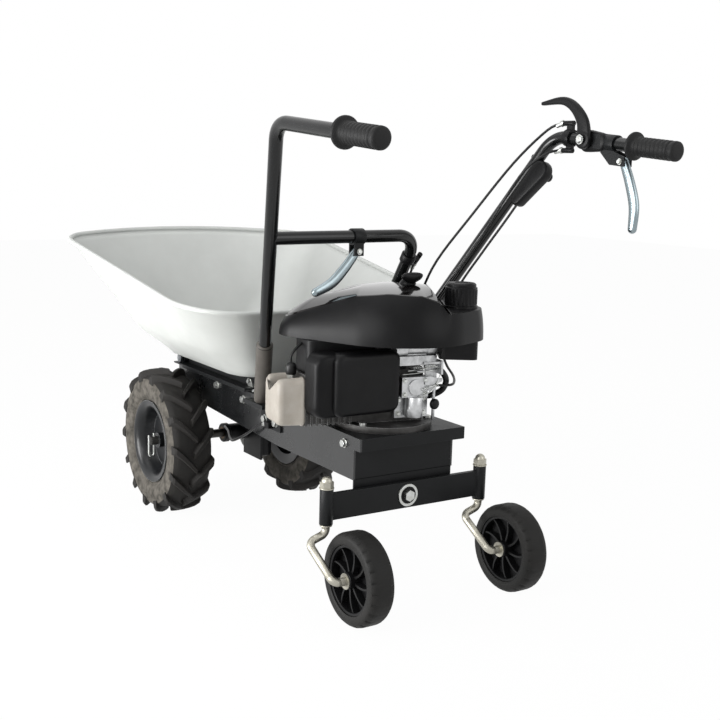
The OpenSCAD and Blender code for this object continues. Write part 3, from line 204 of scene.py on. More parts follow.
def empty_tree(owner: bpy.types.Material | bpy.types.World) -> bpy.types.NodeTree:
    """Turns on the nodes of a material or a world and clears them.

    Args:
        owner: The material or world.

    Returns:
        Its empty node tree.
    """
    owner.use_nodes = True
    owner.node_tree.nodes.clear()
    return owner.node_tree


def stand(name: str, data: bpy.types.ID) -> bpy.types.Object:
    """Puts a mesh, curve, lamp or camera into the scene.

    Args:
        name: The object's name.
        data: What the object shows.

    Returns:
        The new object.
    """
    thing = bpy.data.objects.new(name, data)
    bpy.context.scene.collection.objects.link(thing)
    return thing


class Grain(Enum):
    """How a surface was made, which sets the pattern of its relief."""

    SPRAYED = "sprayed coat with a slight orange peel"
    CAST = "sand or die cast skin"
    MOULDED = "moulded skin"
    SPANGLED = "hot-dipped zinc with crystals"
    PLATED = "thin plating over drawn steel"
    CURED = "cured rubber"


@dataclass(frozen=True)
class Finish:
    """One real material and the way its surface was made; sizes in millimetres.

    Moulded, plated and cast grains are drawn at about a millimetre, coarser than real, so that they show.
    """

    name: str
    slot: str
    colour: str
    second: str
    metallic: float
    rough_low: float
    rough_high: float
    patch: float
    grain: float
    depth: float
    kind: Grain
    coat: float = 0.0
    edge: str = ""
    shine: float = 0.5

    def relief(self, tree: bpy.types.NodeTree, where: bpy.types.NodeSocket) -> bpy.types.NodeSocket:
        """Builds the height pattern of the surface.

        Args:
            tree: The node tree.
            where: Object coordinates in metres.

        Returns:
            The socket that carries the height.
        """
        scale = 1 / (self.grain * MM)
        if self.kind is Grain.SPANGLED:
            cells = {"feature": "F1", "distance": "EUCLIDEAN"}
            node = add_node(tree, "ShaderNodeTexVoronoi", cells, {"Scale": scale}, {"Vector": where})
            return node.outputs["Distance"]
        if self.kind is Grain.CAST:
            values = {"Scale": scale, "Detail": 6.0, "Roughness": 0.7}
        elif self.kind is Grain.PLATED:
            values = {"Scale": scale, "Detail": 2.0, "Roughness": 0.4, "Distortion": 0.6}
        else:
            values = {"Scale": scale, "Detail": 3.0, "Roughness": 0.5}
        return add_node(tree, "ShaderNodeTexNoise", None, values, {"Vector": where}).outputs["Fac"]

    def worn_and_highlit_edges(self, tree: bpy.types.NodeTree, colour: bpy.types.NodeSocket) -> bpy.types.NodeSocket:
        """Lightens the edges, where hands and other pieces rub the coat thin; on the rims the pale edge
        colour also paints highlight lines.

        Args:
            tree: The node tree.
            colour: The colour away from the edges.

        Returns:
            The socket of the colour with worn edges, with painted edge highlights on the rims.
        """
        flat = add_node(tree, "ShaderNodeNewGeometry").outputs["Normal"]
        soft = add_node(tree, "ShaderNodeBevel", {"samples": 4}, {"Radius": 1.6 * MM}).outputs["Normal"]
        turn = add_node(tree, "ShaderNodeVectorMath", {"operation": "DOT_PRODUCT"}, None, {0: flat, 1: soft})
        limits = {"From Min": 0.98, "From Max": 0.8, "To Min": 0.0, "To Max": 0.55}
        mask = add_node(tree, "ShaderNodeMapRange", None, limits, {"Value": turn.outputs["Value"]})
        mix = add_node(tree, "ShaderNodeMix", {"data_type": "RGBA"}, {7: linear_colour(self.edge)},
                       {0: mask.outputs["Result"], 6: colour})
        return mix.outputs[2]

    def build(self) -> bpy.types.Material:
        """Builds the material's nodes.

        Returns:
            The material.
        """
        material = bpy.data.materials.new(self.name)
        tree = empty_tree(material)
        where = add_node(tree, "ShaderNodeTexCoord").outputs["Object"]
        cloud = {"Scale": 1 / (self.patch * MM), "Detail": 5.0, "Roughness": 0.6}
        patches = add_node(tree, "ShaderNodeTexNoise", None, cloud, {"Vector": where})
        spread = add_node(tree, "ShaderNodeMapRange", None, {"From Min": 0.34, "From Max": 0.68},
                          {"Value": patches.outputs["Fac"]})
        tint = add_node(tree, "ShaderNodeMix", {"data_type": "RGBA"},
                        {6: linear_colour(self.colour), 7: linear_colour(self.second)},
                        {0: spread.outputs["Result"]})
        colour = tint.outputs[2]
        if self.edge:
            colour = self.worn_and_highlit_edges(tree, colour)
        limits = {"From Min": 0.3, "From Max": 0.7, "To Min": self.rough_low, "To Max": self.rough_high}
        gloss = add_node(tree, "ShaderNodeMapRange", None, limits, {"Value": patches.outputs["Fac"]})
        bump = add_node(tree, "ShaderNodeBump", None, {"Strength": 0.6, "Distance": self.depth * MM},
                        {"Height": self.relief(tree, where)})
        values = {"Metallic": self.metallic, "Specular IOR Level": self.shine,
                  "Coat Weight": self.coat, "Coat Roughness": 0.06}
        links = {"Base Color": colour, "Roughness": gloss.outputs["Result"], "Normal": bump.outputs["Normal"]}
        shader = add_node(tree, "ShaderNodeBsdfPrincipled", None, values, links)
        add_node(tree, "ShaderNodeOutputMaterial", None, None, {"Surface": shader.outputs["BSDF"]})
        return material


@functools.cache
def material_of(finish: Finish) -> bpy.types.Material:
    """Builds a finish's material once and hands out the same one after that."""
    return finish.build()


# Powder coat on folded steel plate: nearly black, satin, faint orange peel, edges rubbed a little paler
PLATE_COAT = Finish(
    "powder_coated_steel", "frame_black", "#111213", "#161718", metallic=0.0, rough_low=0.36,
    rough_high=0.46, patch=70, grain=1.4, depth=0.05, kind=Grain.SPRAYED, edge="#343537", shine=0.16,
)
# Gloss enamel on the long side plates, which mirrors the pale floor towards the rear
SIDE_COAT = Finish(
    "gloss_enamelled_plate", "frame_black", "#0c0d0e", "#111213", metallic=0.0, rough_low=0.22,
    rough_high=0.32, patch=70, grain=1.4, depth=0.03, kind=Grain.SPRAYED, coat=0.28, edge="#4a4b4d",
)
# The coat on round tube, glossier than on plate because it lies smoother on drawn steel
TUBE_COAT = Finish(
    "gloss_coated_tube", "tube_black", "#070808", "#0b0c0d", metallic=0.0, rough_low=0.18,
    rough_high=0.26, patch=60, grain=1.6, depth=0.03, kind=Grain.SPRAYED, coat=0.2, edge="#2c2d2f",
    shine=0.26,
)
# Brown-grey paint on the foot sockets, dulled by dust
BRACKET_COAT = Finish(
    "painted_bracket", "bracket_black", "#4e4a45", "#423e3a", metallic=0.0, rough_low=0.45,
    rough_high=0.6, patch=40, grain=1.2, depth=0.06, kind=Grain.SPRAYED, edge="#77736c", shine=0.35,
)
# Hot-dipped zinc on the tub: pale, neutral, matt, with faint crystals
TUB_ZINC = Finish(
    "galvanised_sheet", "galvanised", "#c1c3c0", "#b9bbb8", metallic=0.25, rough_low=0.4,
    rough_high=0.52, patch=150, grain=9, depth=0.02, kind=Grain.SPANGLED, edge="#d4d6d3",
)
# Bright zinc plate on bolts, washers and bushes
BOLT_ZINC = Finish(
    "zinc_plated_bolt", "zinc", "#c9cbca", "#b3b4ae", metallic=1.0, rough_low=0.24, rough_high=0.4,
    patch=9, grain=0.8, depth=0.02, kind=Grain.PLATED,
)
# Passivated zinc on the bent rods, dulled to a grey beige
ROD_ZINC = Finish(
    "passivated_zinc_rod", "rod_zinc", "#b0ada1", "#97948a", metallic=1.0, rough_low=0.36,
    rough_high=0.5, patch=25, grain=1.0, depth=0.02, kind=Grain.PLATED,
)
# Plated pressings of the hand levers, smooth and bright with a cold blue cast
LEVER_PLATE = Finish(
    "plated_pressing", "lever_steel", "#929ea2", "#848f94", metallic=1.0, rough_low=0.2, rough_high=0.3,
    patch=70, grain=3.0, depth=0.01, kind=Grain.PLATED,
)
# Ground steel shafts: bright, with a fine sheen
SHAFT = Finish(
    "ground_steel", "shaft_steel", "#8d9094", "#787b7f", metallic=1.0, rough_low=0.26, rough_high=0.4,
    patch=20, grain=0.7, depth=0.02, kind=Grain.PLATED,
)
# The axle, dark with oil and road dirt
AXLE_OIL = Finish(
    "oiled_steel", "shaft_steel", "#2b2b2b", "#3a3834", metallic=0.7, rough_low=0.34, rough_high=0.5,
    patch=25, grain=0.9, depth=0.03, kind=Grain.PLATED,
)
# Sintered bronze, dark with oil
BRONZE = Finish(
    "bronze_bush", "bronze", "#5c4529", "#4a3822", metallic=1.0, rough_low=0.34, rough_high=0.46,
    patch=12, grain=0.8, depth=0.03, kind=Grain.CAST,
)
# Die-cast aluminium, bright and slightly grained
ALLOY = Finish(
    "die_cast_alloy", "cast_alloy", "#c4c5c6", "#a3a4a5", metallic=1.0, rough_low=0.32, rough_high=0.48,
    patch=16, grain=1.1, depth=0.08, kind=Grain.CAST,
)
# The engine's block and base: dark painted casting with bright rubbed edges
BLOCK_CAST = Finish(
    "painted_engine_casting", "cast_alloy", "#403f3e", "#333231", metallic=0.5, rough_low=0.42,
    rough_high=0.58, patch=16, grain=1.1, depth=0.08, kind=Grain.CAST, edge="#b5b6b6", shine=0.3,
)
# Iron gear case under grey paint
CASE_PAINT = Finish(
    "painted_cast_iron", "case_grey", "#868783", "#6f706d", metallic=0.1, rough_low=0.5,
    rough_high=0.66, patch=35, grain=1.8, depth=0.2, kind=Grain.CAST, edge="#a5a6a2", shine=0.35,
)
# The engine's head cover: warm pale grey enamel on a casting
HEAD_ENAMEL = Finish(
    "enamelled_casting", "head_grey", "#98928a", "#8b857c", metallic=0.0, rough_low=0.42,
    rough_high=0.55, patch=30, grain=1.5, depth=0.12, kind=Grain.CAST, edge="#d8d3c8", shine=0.4,
)
# Silencer sheet, browned by heat
HOT_SHEET = Finish(
    "heat_browned_sheet", "silencer", "#4a4540", "#5c5047", metallic=0.7, rough_low=0.45,
    rough_high=0.6, patch=24, grain=1.2, depth=0.05, kind=Grain.PLATED,
)
# Sprayed rim: dark, semi-gloss, rubbed bright on its flange; its pale edge colour also paints the highlight
# lines along the rim's edges
RIM_COAT = Finish(
    "sprayed_rim", "rim_black", "#0f1011", "#17181a", metallic=0.0, rough_low=0.28, rough_high=0.4,
    patch=40, grain=1.5, depth=0.04, kind=Grain.SPRAYED, coat=0.12, edge="#a5a7a8", shine=0.25,
)
# Tread bars of the front tyres: dark, dry rubber
TREAD = Finish(
    "tyre_rubber", "tread_rubber", "#161514", "#242220", metallic=0.0, rough_low=0.62, rough_high=0.8,
    patch=55, grain=1.1, depth=0.12, kind=Grain.CURED, shine=0.25,
)
# Walls of the front tyres: the same rubber, mottled by brown dust
TYRE_WALL = Finish(
    "dusty_tyre_wall", "tread_rubber", "#5a5650", "#302e2a", metallic=0.0, rough_low=0.72,
    rough_high=0.88, patch=17, grain=1.1, depth=0.12, kind=Grain.CURED, shine=0.2,
)
# Caster tyres: solid dark grey rubber
CASTER_RUBBER = Finish(
    "solid_caster_rubber", "caster_rubber", "#151514", "#1f1e1d", metallic=0.0, rough_low=0.55,
    rough_high=0.68, patch=40, grain=0.9, depth=0.06, kind=Grain.CURED, shine=0.2,
)
# Caster hubs: black polypropylene, slightly waxy
HUB_PLASTIC = Finish(
    "moulded_polypropylene", "hub_plastic", "#0e0e0f", "#131314", metallic=0.0, rough_low=0.36,
    rough_high=0.46, patch=30, grain=0.8, depth=0.03, kind=Grain.MOULDED, shine=0.2,
)
# The cowl's walls: black satin nylon with a fine spark grain
COWL_SATIN = Finish(
    "satin_black_nylon", "cowl_plastic", "#0a0a0b", "#0f0f10", metallic=0.0, rough_low=0.34,
    rough_high=0.42, patch=60, grain=0.9, depth=0.04, kind=Grain.MOULDED, shine=0.13,
)
# The cowl's top panel: the same plastic, polished in the mould
COWL_GLOSS = Finish(
    "gloss_black_panel", "cowl_plastic", "#0f0d0d", "#141111", metallic=0.0, rough_low=0.07,
    rough_high=0.12, patch=80, grain=3.0, depth=0.01, kind=Grain.MOULDED, coat=0.4, shine=0.4,
)
# The filter housing and other small covers: black moulded plastic with a satin skin
BOX_PLASTIC = Finish(
    "moulded_black_cover", "box_plastic", "#0d0d0e", "#131314", metallic=0.0, rough_low=0.34,
    rough_high=0.44, patch=45, grain=0.8, depth=0.03, kind=Grain.MOULDED, shine=0.15,
)
# The starter's reel: natural nylon, pale and waxy
REEL_PLASTIC = Finish(
    "natural_nylon", "reel_plastic", "#cfcab8", "#bfb9a6", metallic=0.0, rough_low=0.45,
    rough_high=0.55, patch=20, grain=0.8, depth=0.03, kind=Grain.MOULDED,
)
# Hand grips: soft black elastomer, matt
GRIP_RUBBER = Finish(
    "soft_grip_elastomer", "grip_rubber", "#101011", "#161616", metallic=0.0, rough_low=0.5,
    rough_high=0.62, patch=25, grain=0.7, depth=0.05, kind=Grain.CURED, shine=0.22,
)
# Cable sleeves: extruded black vinyl, smooth with a dull shine
CABLE_VINYL = Finish(
    "extruded_vinyl", "cable_black", "#0c0c0d", "#111111", metallic=0.0, rough_low=0.36,
    rough_high=0.46, patch=30, grain=0.9, depth=0.02, kind=Grain.MOULDED, shine=0.3,
)
# The belt: fabric-faced rubber, dry and matt
BELT = Finish(
    "fabric_faced_rubber", "belt_rubber", "#1c1b1a", "#262422", metallic=0.0, rough_low=0.7,
    rough_high=0.85, patch=12, grain=0.6, depth=0.08, kind=Grain.CURED,
)


class Form:
    """A mesh under construction, in millimetres from the axle."""

    def __init__(self) -> None:
        """Starts an empty mesh."""
        self.mesh = bmesh.new()

    def ring(self, points: Iterable[Point], frame: Matrix | None = None) -> list[bmesh.types.BMVert]:
        """Adds one ring of vertices, through a frame where one is given."""
        turn = frame or Matrix.Identity(4)
        return [self.mesh.verts.new(place(turn @ Vector(p))) for p in points]

    def loft(
        self,
        rings: Sequence[Sequence[Point]],
        frame: Matrix | None = None,
        start: bool = False,
        end: bool = False,
        around: bool = True,
        endless: bool = False,
    ) -> None:
        """Skins a row of rings that have the same number of points.

        Args:
            rings: The rings, each a list of points.
            frame: The frame that the points are in.
            start: Whether a face closes the first ring.
            end: Whether a face closes the last ring.
            around: Whether each ring joins its own end.
            endless: Whether the last ring joins the first.
        """
        rows = [self.ring(points, frame) for points in rings]
        pairs = list(zip(rows, rows[1:]))
        if endless:
            pairs.append((rows[-1], rows[0]))
        count = len(rows[0])
        for low, high in pairs:
            for i in range(count if around else count - 1):
                k = (i + 1) % count
                self.mesh.faces.new((low[i], low[k], high[k], high[i]))
        if start:
            self.mesh.faces.new(list(reversed(rows[0])))
        if end:
            self.mesh.faces.new(rows[-1])

    def revolve(
        self,
        profile: Sequence[tuple[float, float]],
        frame: Matrix,
        steps: int = 64,
        closed: bool = True,
        swell: Callable[[int, int], float] | None = None,
    ) -> None:
        """Turns a profile of (radius, height) about the frame's own Z.

        Args:
            profile: Radius and height of each point.
            frame: The frame of the axis.
            steps: Steps in the whole turn.
            closed: Whether the profile's last point joins its first.
            swell: Extra radius for a step and a profile point.
        """
        rings = []
        for i in range(steps):
            a = math.tau * i / steps
            ring = []
            for k, (radius, height) in enumerate(profile):
                r = radius + (swell(i, k) if swell else 0.0)
                ring.append((r * math.cos(a), r * math.sin(a), height))
            rings.append(ring)
        self.loft(rings, frame, around=closed, endless=True)

    def tube(self, path: Sequence[Point], radius: float, sides: int = 12, endless: bool = False) -> None:
        """Sweeps a round section along a path, with closed ends unless it is endless.

        Args:
            path: The points of the centre line.
            radius: The section's radius.
            sides: Points round the section.
            endless: Whether the path joins its own end.
        """
        points = [Vector(p) for p in path]
        count = len(points)
        rings = []
        side: Vector | None = None
        for i, p in enumerate(points):
            after = points[(i + 1) % count] if endless else points[min(i + 1, count - 1)]
            before = points[i - 1] if endless else points[max(i - 1, 0)]
            along = (after - before).normalized()
            if side is None:
                side = along.orthogonal()
            side = (side - along * side.dot(along)).normalized()
            up = along.cross(side)
            turns = [math.tau * k / sides for k in range(sides)]
            rings.append([p + (side * math.cos(a) + up * math.sin(a)) * radius for a in turns])
        self.loft(rings, start=not endless, end=not endless, endless=endless)

    def slab(self, outline: Sequence[tuple[float, float]], low: float, high: float, frame: Matrix) -> None:
        """Pulls a flat outline up along the frame's own Z."""
        rings = [[(x, y, z) for x, y in outline] for z in (low, high)]
        self.loft(rings, frame, start=True, end=True)

    def screw(self, frame: Matrix, spot: Point, way: Point, radius: float) -> None:
        """Adds a hexagon screw head with a washer, on a spot of the frame.

        Args:
            frame: The frame of the spot.
            spot: The middle of its seat.
            way: The way that its head looks.
            radius: The radius over its corners.
        """
        own = frame @ axis_frame(spot, way)
        wide = radius * 1.25
        washer = [(POLE, -1), (wide, -1), (wide, 0.8), (POLE, 0.8)]
        head = [(POLE, 0.4), (radius, 0.4), (radius, 3.4), (radius * 0.8, 4.2), (POLE, 4.2)]
        self.revolve(washer, own, 20, closed=False)
        self.revolve(head, own, 6, closed=False)

    def piece(
        self,
        name: str,
        finish: Finish,
        body: str,
        replaces: Sequence[str] = (),
        sharp: float = 35.0,
        bevel: float = 0.0,
        wall: float = 0.0,
    ) -> None:
        """Turns the mesh into a finished piece that rides on a body.

        Args:
            name: The piece's name.
            finish: What it is made of.
            body: The body that it rides on.
            replaces: The solids that it stands for.
            sharp: Edges that turn by more than this, in degrees, stay crisp.
            bevel: Width of a small round on crisp edges.
            wall: Thickness given to an open skin, towards its inside.
        """
        bmesh.ops.remove_doubles(self.mesh, verts=self.mesh.verts[:], dist=0.01 * MM)
        bmesh.ops.recalc_face_normals(self.mesh, faces=self.mesh.faces[:])
        mesh = bpy.data.meshes.new(name)
        self.mesh.to_mesh(mesh)
        self.mesh.free()
        mesh.shade_smooth()
        mesh.set_sharp_from_angle(angle=math.radians(sharp))
        mesh.materials.append(material_of(finish))
        piece = stand(name, mesh)
        if wall:
            shell = piece.modifiers.new("sheet", "SOLIDIFY")
            shell.thickness = wall * MM
            shell.offset = -1.0
            shell.use_even_offset = True
        if bevel:
            round_edges(piece, bevel, sharp)
        enrol(piece, body, replaces)
        LOG.info("piece %s on %s", name, body)


def enrol(piece: bpy.types.Object, body: str, replaces: Sequence[str]) -> None:
    """Tells the frame about a piece.

    Args:
        piece: The object.
        body: The body that it rides on.
        replaces: The solids that it stands for.
    """
    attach(piece, body)
    if replaces:
        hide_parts(*replaces)


def round_edges(piece: bpy.types.Object, width: float, angle: float = 35.0) -> None:
    """Rounds the crisp edges of a piece.

    Args:
        piece: The object.
        width: Width of the round in millimetres.
        angle: Edges that turn by more than this, in degrees, are rounded.
    """
    bevel = piece.modifiers.new("edges", "BEVEL")
    bevel.width = width * MM
    bevel.segments = 2
    bevel.limit_method = "ANGLE"
    bevel.angle_limit = math.radians(angle)
    bevel.use_clamp_overlap = True
    bevel.harden_normals = True


def joined_arcs(
    corners: Sequence[tuple[float, float, float, float, float]], steps: int, sides: int, bow: float = 0.0
) -> list[tuple[float, float]]:
    """Joins corner arcs into one closed outline, anticlockwise.

    Args:
        corners: Centre x and y, radius, first and last angle in degrees of each arc.
        steps: Steps in an arc.
        sides: Stretches in each side between two arcs.
        bow: How far the first side bows out along x.

    Returns:
        The outline's points.
    """
    arcs = []
    for cx, cy, r, first, last in corners:
        turns = [math.radians(first + (last - first) * k / steps) for k in range(steps + 1)]
        arcs.append([(cx + r * math.cos(a), cy + r * math.sin(a)) for a in turns])
    points: list[tuple[float, float]] = []
    for number, arc in enumerate(arcs):
        points.extend(arc)
        fx, fy = arc[-1]
        tx, ty = arcs[(number + 1) % len(arcs)][0]
        for k in range(1, sides):
            t = k / sides
            swell = 4 * bow * t * (1 - t) if number == 0 else 0.0
            points.append((fx + (tx - fx) * t + swell, fy + (ty - fy) * t))
    return points


def rounded_outline(
    x0: float, x1: float, y0: float, y1: float, radii: tuple[float, float], steps: int, sides: int = 1
) -> list[tuple[float, float]]:
    """Draws a rectangle with round corners, anticlockwise from its far right corner.

    Args:
        x0: Lowest x.
        x1: Highest x.
        y0: Lowest y.
        y1: Highest y.
        radii: Corner radius at the low and the high end of x.
        steps: Steps in a corner.
        sides: Stretches in each straight side.

    Returns:
        The outline's points.
    """
    low, high = radii
    return joined_arcs((
        (x1 - high, y0 + high, high, -90, 0),
        (x1 - high, y1 - high, high, 0, 90),
        (x0 + low, y1 - low, low, 90, 180),
        (x0 + low, y0 + low, low, 180, 270),
    ), steps, sides)


def two_lobes(
    first: tuple[float, float, float], second: tuple[float, float, float], steps: int = 16
) -> list[tuple[float, float]]:
    """Draws the outline round two circles and the straight lines that touch both.

    Args:
        first: X, y and radius of one circle.
        second: X, y and radius of the other.
        steps: Steps in each arc.

    Returns:
        The outline's points.
    """
    (x0, y0, r0), (x1, y1, r1) = first, second
    way = math.atan2(y1 - y0, x1 - x0)
    lean = math.acos((r0 - r1) / math.hypot(x1 - x0, y1 - y0))
    arcs = ((x0, y0, r0, way + lean, way + math.tau - lean), (x1, y1, r1, way - lean, way + lean))
    points = []
    for x, y, r, low, high in arcs:
        for k in range(steps + 1):
            a = low + (high - low) * k / steps
            points.append((x + r * math.cos(a), y + r * math.sin(a)))
    return points


class Side(Enum):
    """The two sides of the barrow, with the sign of Y."""

    LEFT = 1
    RIGHT = -1

    def word(self) -> str:
        """Gives the side's name as the nodes use it."""
        return self.name.lower()


@dataclass
class Tub:
    """The galvanised tipping tub with its rolled rim."""

    reach: float = 320
    back: float = 440
    width: float = 676
    roll: float = 12
    lip_r: float = 90
    lip_turn: float = 21
    rear_in: float = 22
    rear_r: float = 125
    back_z: float = 514
    front_z: float = 636
    floor_z: float = 357
    wall: float = 2
    steps: int = 14
    sides: int = 10
    rows: int = 12
    sheet_half: float = 123
    sheet_top: float = 335
    sheet_t: float = 3
    sheet_fold: float = 7.5

    def rim_frame(self) -> Matrix:
        """Works out the frame of the tilted rim's plane.

        Returns:
            The frame, with its origin in the middle of the rim.
        """
        tilt = math.atan2(self.front_z - self.back_z, self.reach + self.back)
        middle = ((self.reach - self.back) / 2, 0, (self.front_z + self.back_z) / 2)
        return Matrix.Translation(Vector(middle)) @ Matrix.Rotation(-tilt, 4, "Y")

    def rim_outline(self) -> list[tuple[float, float]]:
        """Draws the rim's centre line in its own plane, with a lip that bows out at the front.

        Returns:
            The outline's points.
        """
        long = math.hypot(self.reach + self.back - self.roll, self.front_z - self.back_z)
        half = (self.width - self.roll) / 2
        bend = math.radians(self.lip_turn)
        lip_y = half - self.lip_r
        lip_end = lip_y + self.lip_r * math.sin(bend)
        bow = lip_end * math.tan(bend) / 2
        lip_x = long / 2 - bow - self.lip_r * math.cos(bend)
        rear_x = self.rear_r - long / 2
        rear_y = half - self.rear_in - self.rear_r
        return joined_arcs((
            (lip_x, -lip_y, self.lip_r, -90, -self.lip_turn),
            (lip_x, lip_y, self.lip_r, self.lip_turn, 90),
            (rear_x, rear_y, self.rear_r, 90, 180),
            (rear_x, -rear_y, self.rear_r, 180, 270),
        ), self.steps, self.sides, bow)

    def level(self, x0: float, x1: float, half: float, radii: tuple[float, float], z: float) -> Ring:
        """Draws the outline at one height."""
        outline = rounded_outline(x0, x1, -half, half, radii, self.steps, self.sides)
        return [Vector((x, y, z)) for x, y in outline]

    def build(self) -> None:
        """Builds the pressed shell, its rolled rim, the cradle's rivets and the dark sheet under the tub,
        which partly paints shade.
        """
        z = self.floor_z
        levels = [
            self.level(-270, 62, 96, (50, 60), z),
            self.level(-300, 92, 126, (60, 70), z + 0.6),
            self.level(-314, 108, 141, (70, 80), z + 5),
            self.level(-325, 124, 152, (80, 90), z + 17),
            self.level(-362, 178, 206, (95, 120), z + 60),
        ]
        frame = self.rim_frame()
        top = [frame @ Vector((x, y, 0)) for x, y in self.rim_outline()]
        last = levels[-1]
        for k in range(1, self.rows + 1):
            t = k / self.rows
            levels.append([a.lerp(b, t) for a, b in zip(last, top)])
        shell = Form()
        shell.loft(levels, start=True)
        shell.piece("tub_shell", TUB_ZINC, "hopper", ["tub"], sharp=60, wall=self.wall)
        rim = Form()
        rim.tube(top, self.roll / 2 - 0.5, 14, endless=True)
        rim.piece("tub_rolled_rim", TUB_ZINC, "hopper", sharp=80)
        self.rivets()
        self.sheet()

    def sheet(self) -> None:
        """Builds the flat dark sheet between the tub and the chassis, with its edges turned down: it stands
        for the cradle's lip and also paints the shade under the tub, where the floor would show through the
        chassis.
        """
        form = Form()
        half, top = self.sheet_half, self.sheet_top
        inner, under, low = half - 2, top - self.sheet_t, top - self.sheet_fold
        rear, fold_end, front = -290, 30, 78
        profile = [
            (-half, low), (-inner, low), (-inner, under), (inner, under), (inner, low), (half, low),
            (half, top), (-half, top),
        ]
        form.loft([[(x, y, z) for y, z in profile] for x in (rear, fold_end)], start=True, end=True)
        corners = [(fold_end, -half), (front, -half), (front, half), (fold_end, half)]
        form.slab(corners, under, top, Matrix.Identity(4))
        # Dark sheet: the cradle's lip, and painted shade over the gap into the chassis
        form.piece("cradle_sheet", PLATE_COAT, "hopper", sharp=30)

    def rivets(self) -> None:
        """Builds the flat rivet heads that show inside the tub, over the cradle."""
        form = Form()
        head = [(POLE, 2.4), (3, 2.1), (5, 1.1), (5.6, 0)]
        for x in (-240, -120, 0):
            for s in Side:
                spot = axis_frame((x, s.value * 90, self.floor_z + self.wall), (0, 0, 1))
                form.revolve(head, spot, 20, closed=False)
        form.piece("tub_rivets", BOLT_ZINC, "hopper")


@dataclass
class FrontWheel:
    """A driven wheel: pressed rim and lugged tyre."""

    side: Side
    track: float = 350
    diameter: float = 334
    width: float = 98
    rim_d: float = 172
    axle_d: float = 20
    lug_h: float = 13
    lugs: int = 14

    def frame(self) -> Matrix:
        """Gives the wheel's frame, with its own Z out from the barrow."""
        s = self.side.value
        return axis_frame((0, s * self.track / 2, self.diameter / 2), (0, s, 0))

    def rim(self) -> None:
        """Builds the two-piece pressed rim with its rolled flanges."""
        bead = self.rim_d / 2
        half = self.width / 2 - 8
        tube = self.axle_d / 2 + 7
        profile = [
            (tube - 6.9, -22), (tube, -22), (tube, 0), (bead - 40, 3), (bead - 34, 3.5), (bead - 28, 0),
            (bead - 22, -7), (bead - 18, -22), (bead - 15, -half + 3), (bead + 2, -half - 1.5),
            (bead + 8, -half - 2), (bead + 9, -half), (bead + 8, -half + 1.5), (bead, -half + 4),
            (bead, -half + 18), (bead - 12, -12), (bead - 12, 12), (bead, half - 18), (bead, half - 4),
            (bead + 8, half - 1), (bead + 9, half + 0.6), (bead + 8, half + 2), (bead + 3, half + 1.6),
            (bead - 4, half - 1), (bead - 9, half - 6), (bead - 13, half - 18), (bead - 16, 12),
            (bead - 20, 4), (bead - 26, 3), (bead - 32, 9), (bead - 38, 10), (tube + 6, 8.5), (tube, 10),
            (tube, 24), (tube - 6.9, 24),
        ]
        form = Form()
        form.revolve(profile, self.frame(), 96)
        word = self.side.word()
        form.piece(f"{word}_pressed_rim", RIM_COAT, "front_axle", [f"{word}_rim"], sharp=40)

    def lug(self, form: Form, side: int, number: int) -> None:
        """Adds one slanted tread bar.

        Args:
            form: The tyre's mesh.
            side: Which half of the tread, 1 or -1 along the wheel's own Z.
            number: The bar's number round the tyre.
        """
        crown = self.diameter / 2 - self.lug_h
        half = self.width / 2
        first = math.tau * (number + (0.0 if side > 0 else 0.5)) / self.lugs
        stations = (
            (-3.5, -1.0, 0.0, 6.0), (4, 2.0, 0.0, 6.5), (16, 6.5, -0.4, 6.8), (28, 11.0, -1.4, 7.2),
            (38, 14.5, -3.0, 7.6), (45, 16.5, -6.0, 7.8), (half - 0.6, 17.2, -11.0, 7.0),
        )
        rings = []
        for across, slant, drop, wide in stations:
            top = crown + self.lug_h + drop
            base = crown - 8 if across < 40 else crown - 16
            middle = first + math.radians(slant)
            ring = []
            for r, w in ((base, wide + 2.5), (top - 2.2, wide + 0.2), (top, wide - 1.8)):
                a = middle - w / r
                ring.append((r * math.cos(a), r * math.sin(a), side * across))
            for r, w in ((top, wide - 1.8), (top - 2.2, wide + 0.2), (base, wide + 2.5)):
                a = middle + w / r
                ring.append((r * math.cos(a), r * math.sin(a), side * across))
            rings.append(ring)
        form.loft(rings, self.frame(), start=True, end=True)

    def tyre(self) -> None:
        """Builds the carcass, its beads and moulded rings, and the tread bars."""
        bead = self.rim_d / 2 + 0.2
        crown = self.diameter / 2 - self.lug_h
        half = self.width / 2
        middle = (bead + crown) / 2 + 6
        wall = [
            (bead, half - 22), (bead, half - 14), (bead + 4, half - 12.4), (bead + 10, half - 10.6),
            (bead + 12, half - 8.2), (bead + 15, half - 8), (bead + 17, half - 5.5), (bead + 22, half - 3),
            (middle - 7, half - 0.6), (middle, half), (middle + 6, half - 0.6), (crown - 10, half - 4),
            (crown - 5, half - 10), (crown - 2, half - 18), (crown, 0),
        ]
        shoulder = 11
        walls = Form()
        for side in (1, -1):
            walls.revolve([(r, side * h) for r, h in wall[:shoulder + 1]], self.frame(), 112, closed=False)
        word = self.side.word()
        walls.piece(f"{word}_tyre_walls", TYRE_WALL, "front_axle", sharp=32)
        tread = wall[shoulder:]
        form = Form()
        form.revolve(tread + [(r, -h) for r, h in reversed(tread[:-1])], self.frame(), 112, closed=False)
        for side in (1, -1):
            for number in range(self.lugs):
                self.lug(form, side, number)
        form.piece(f"{word}_lugged_tyre", TREAD, "front_axle", [f"{word}_tyre"], sharp=32)

    def build(self) -> None:
        """Builds the rim and the tyre."""
        self.rim()
        self.tyre()


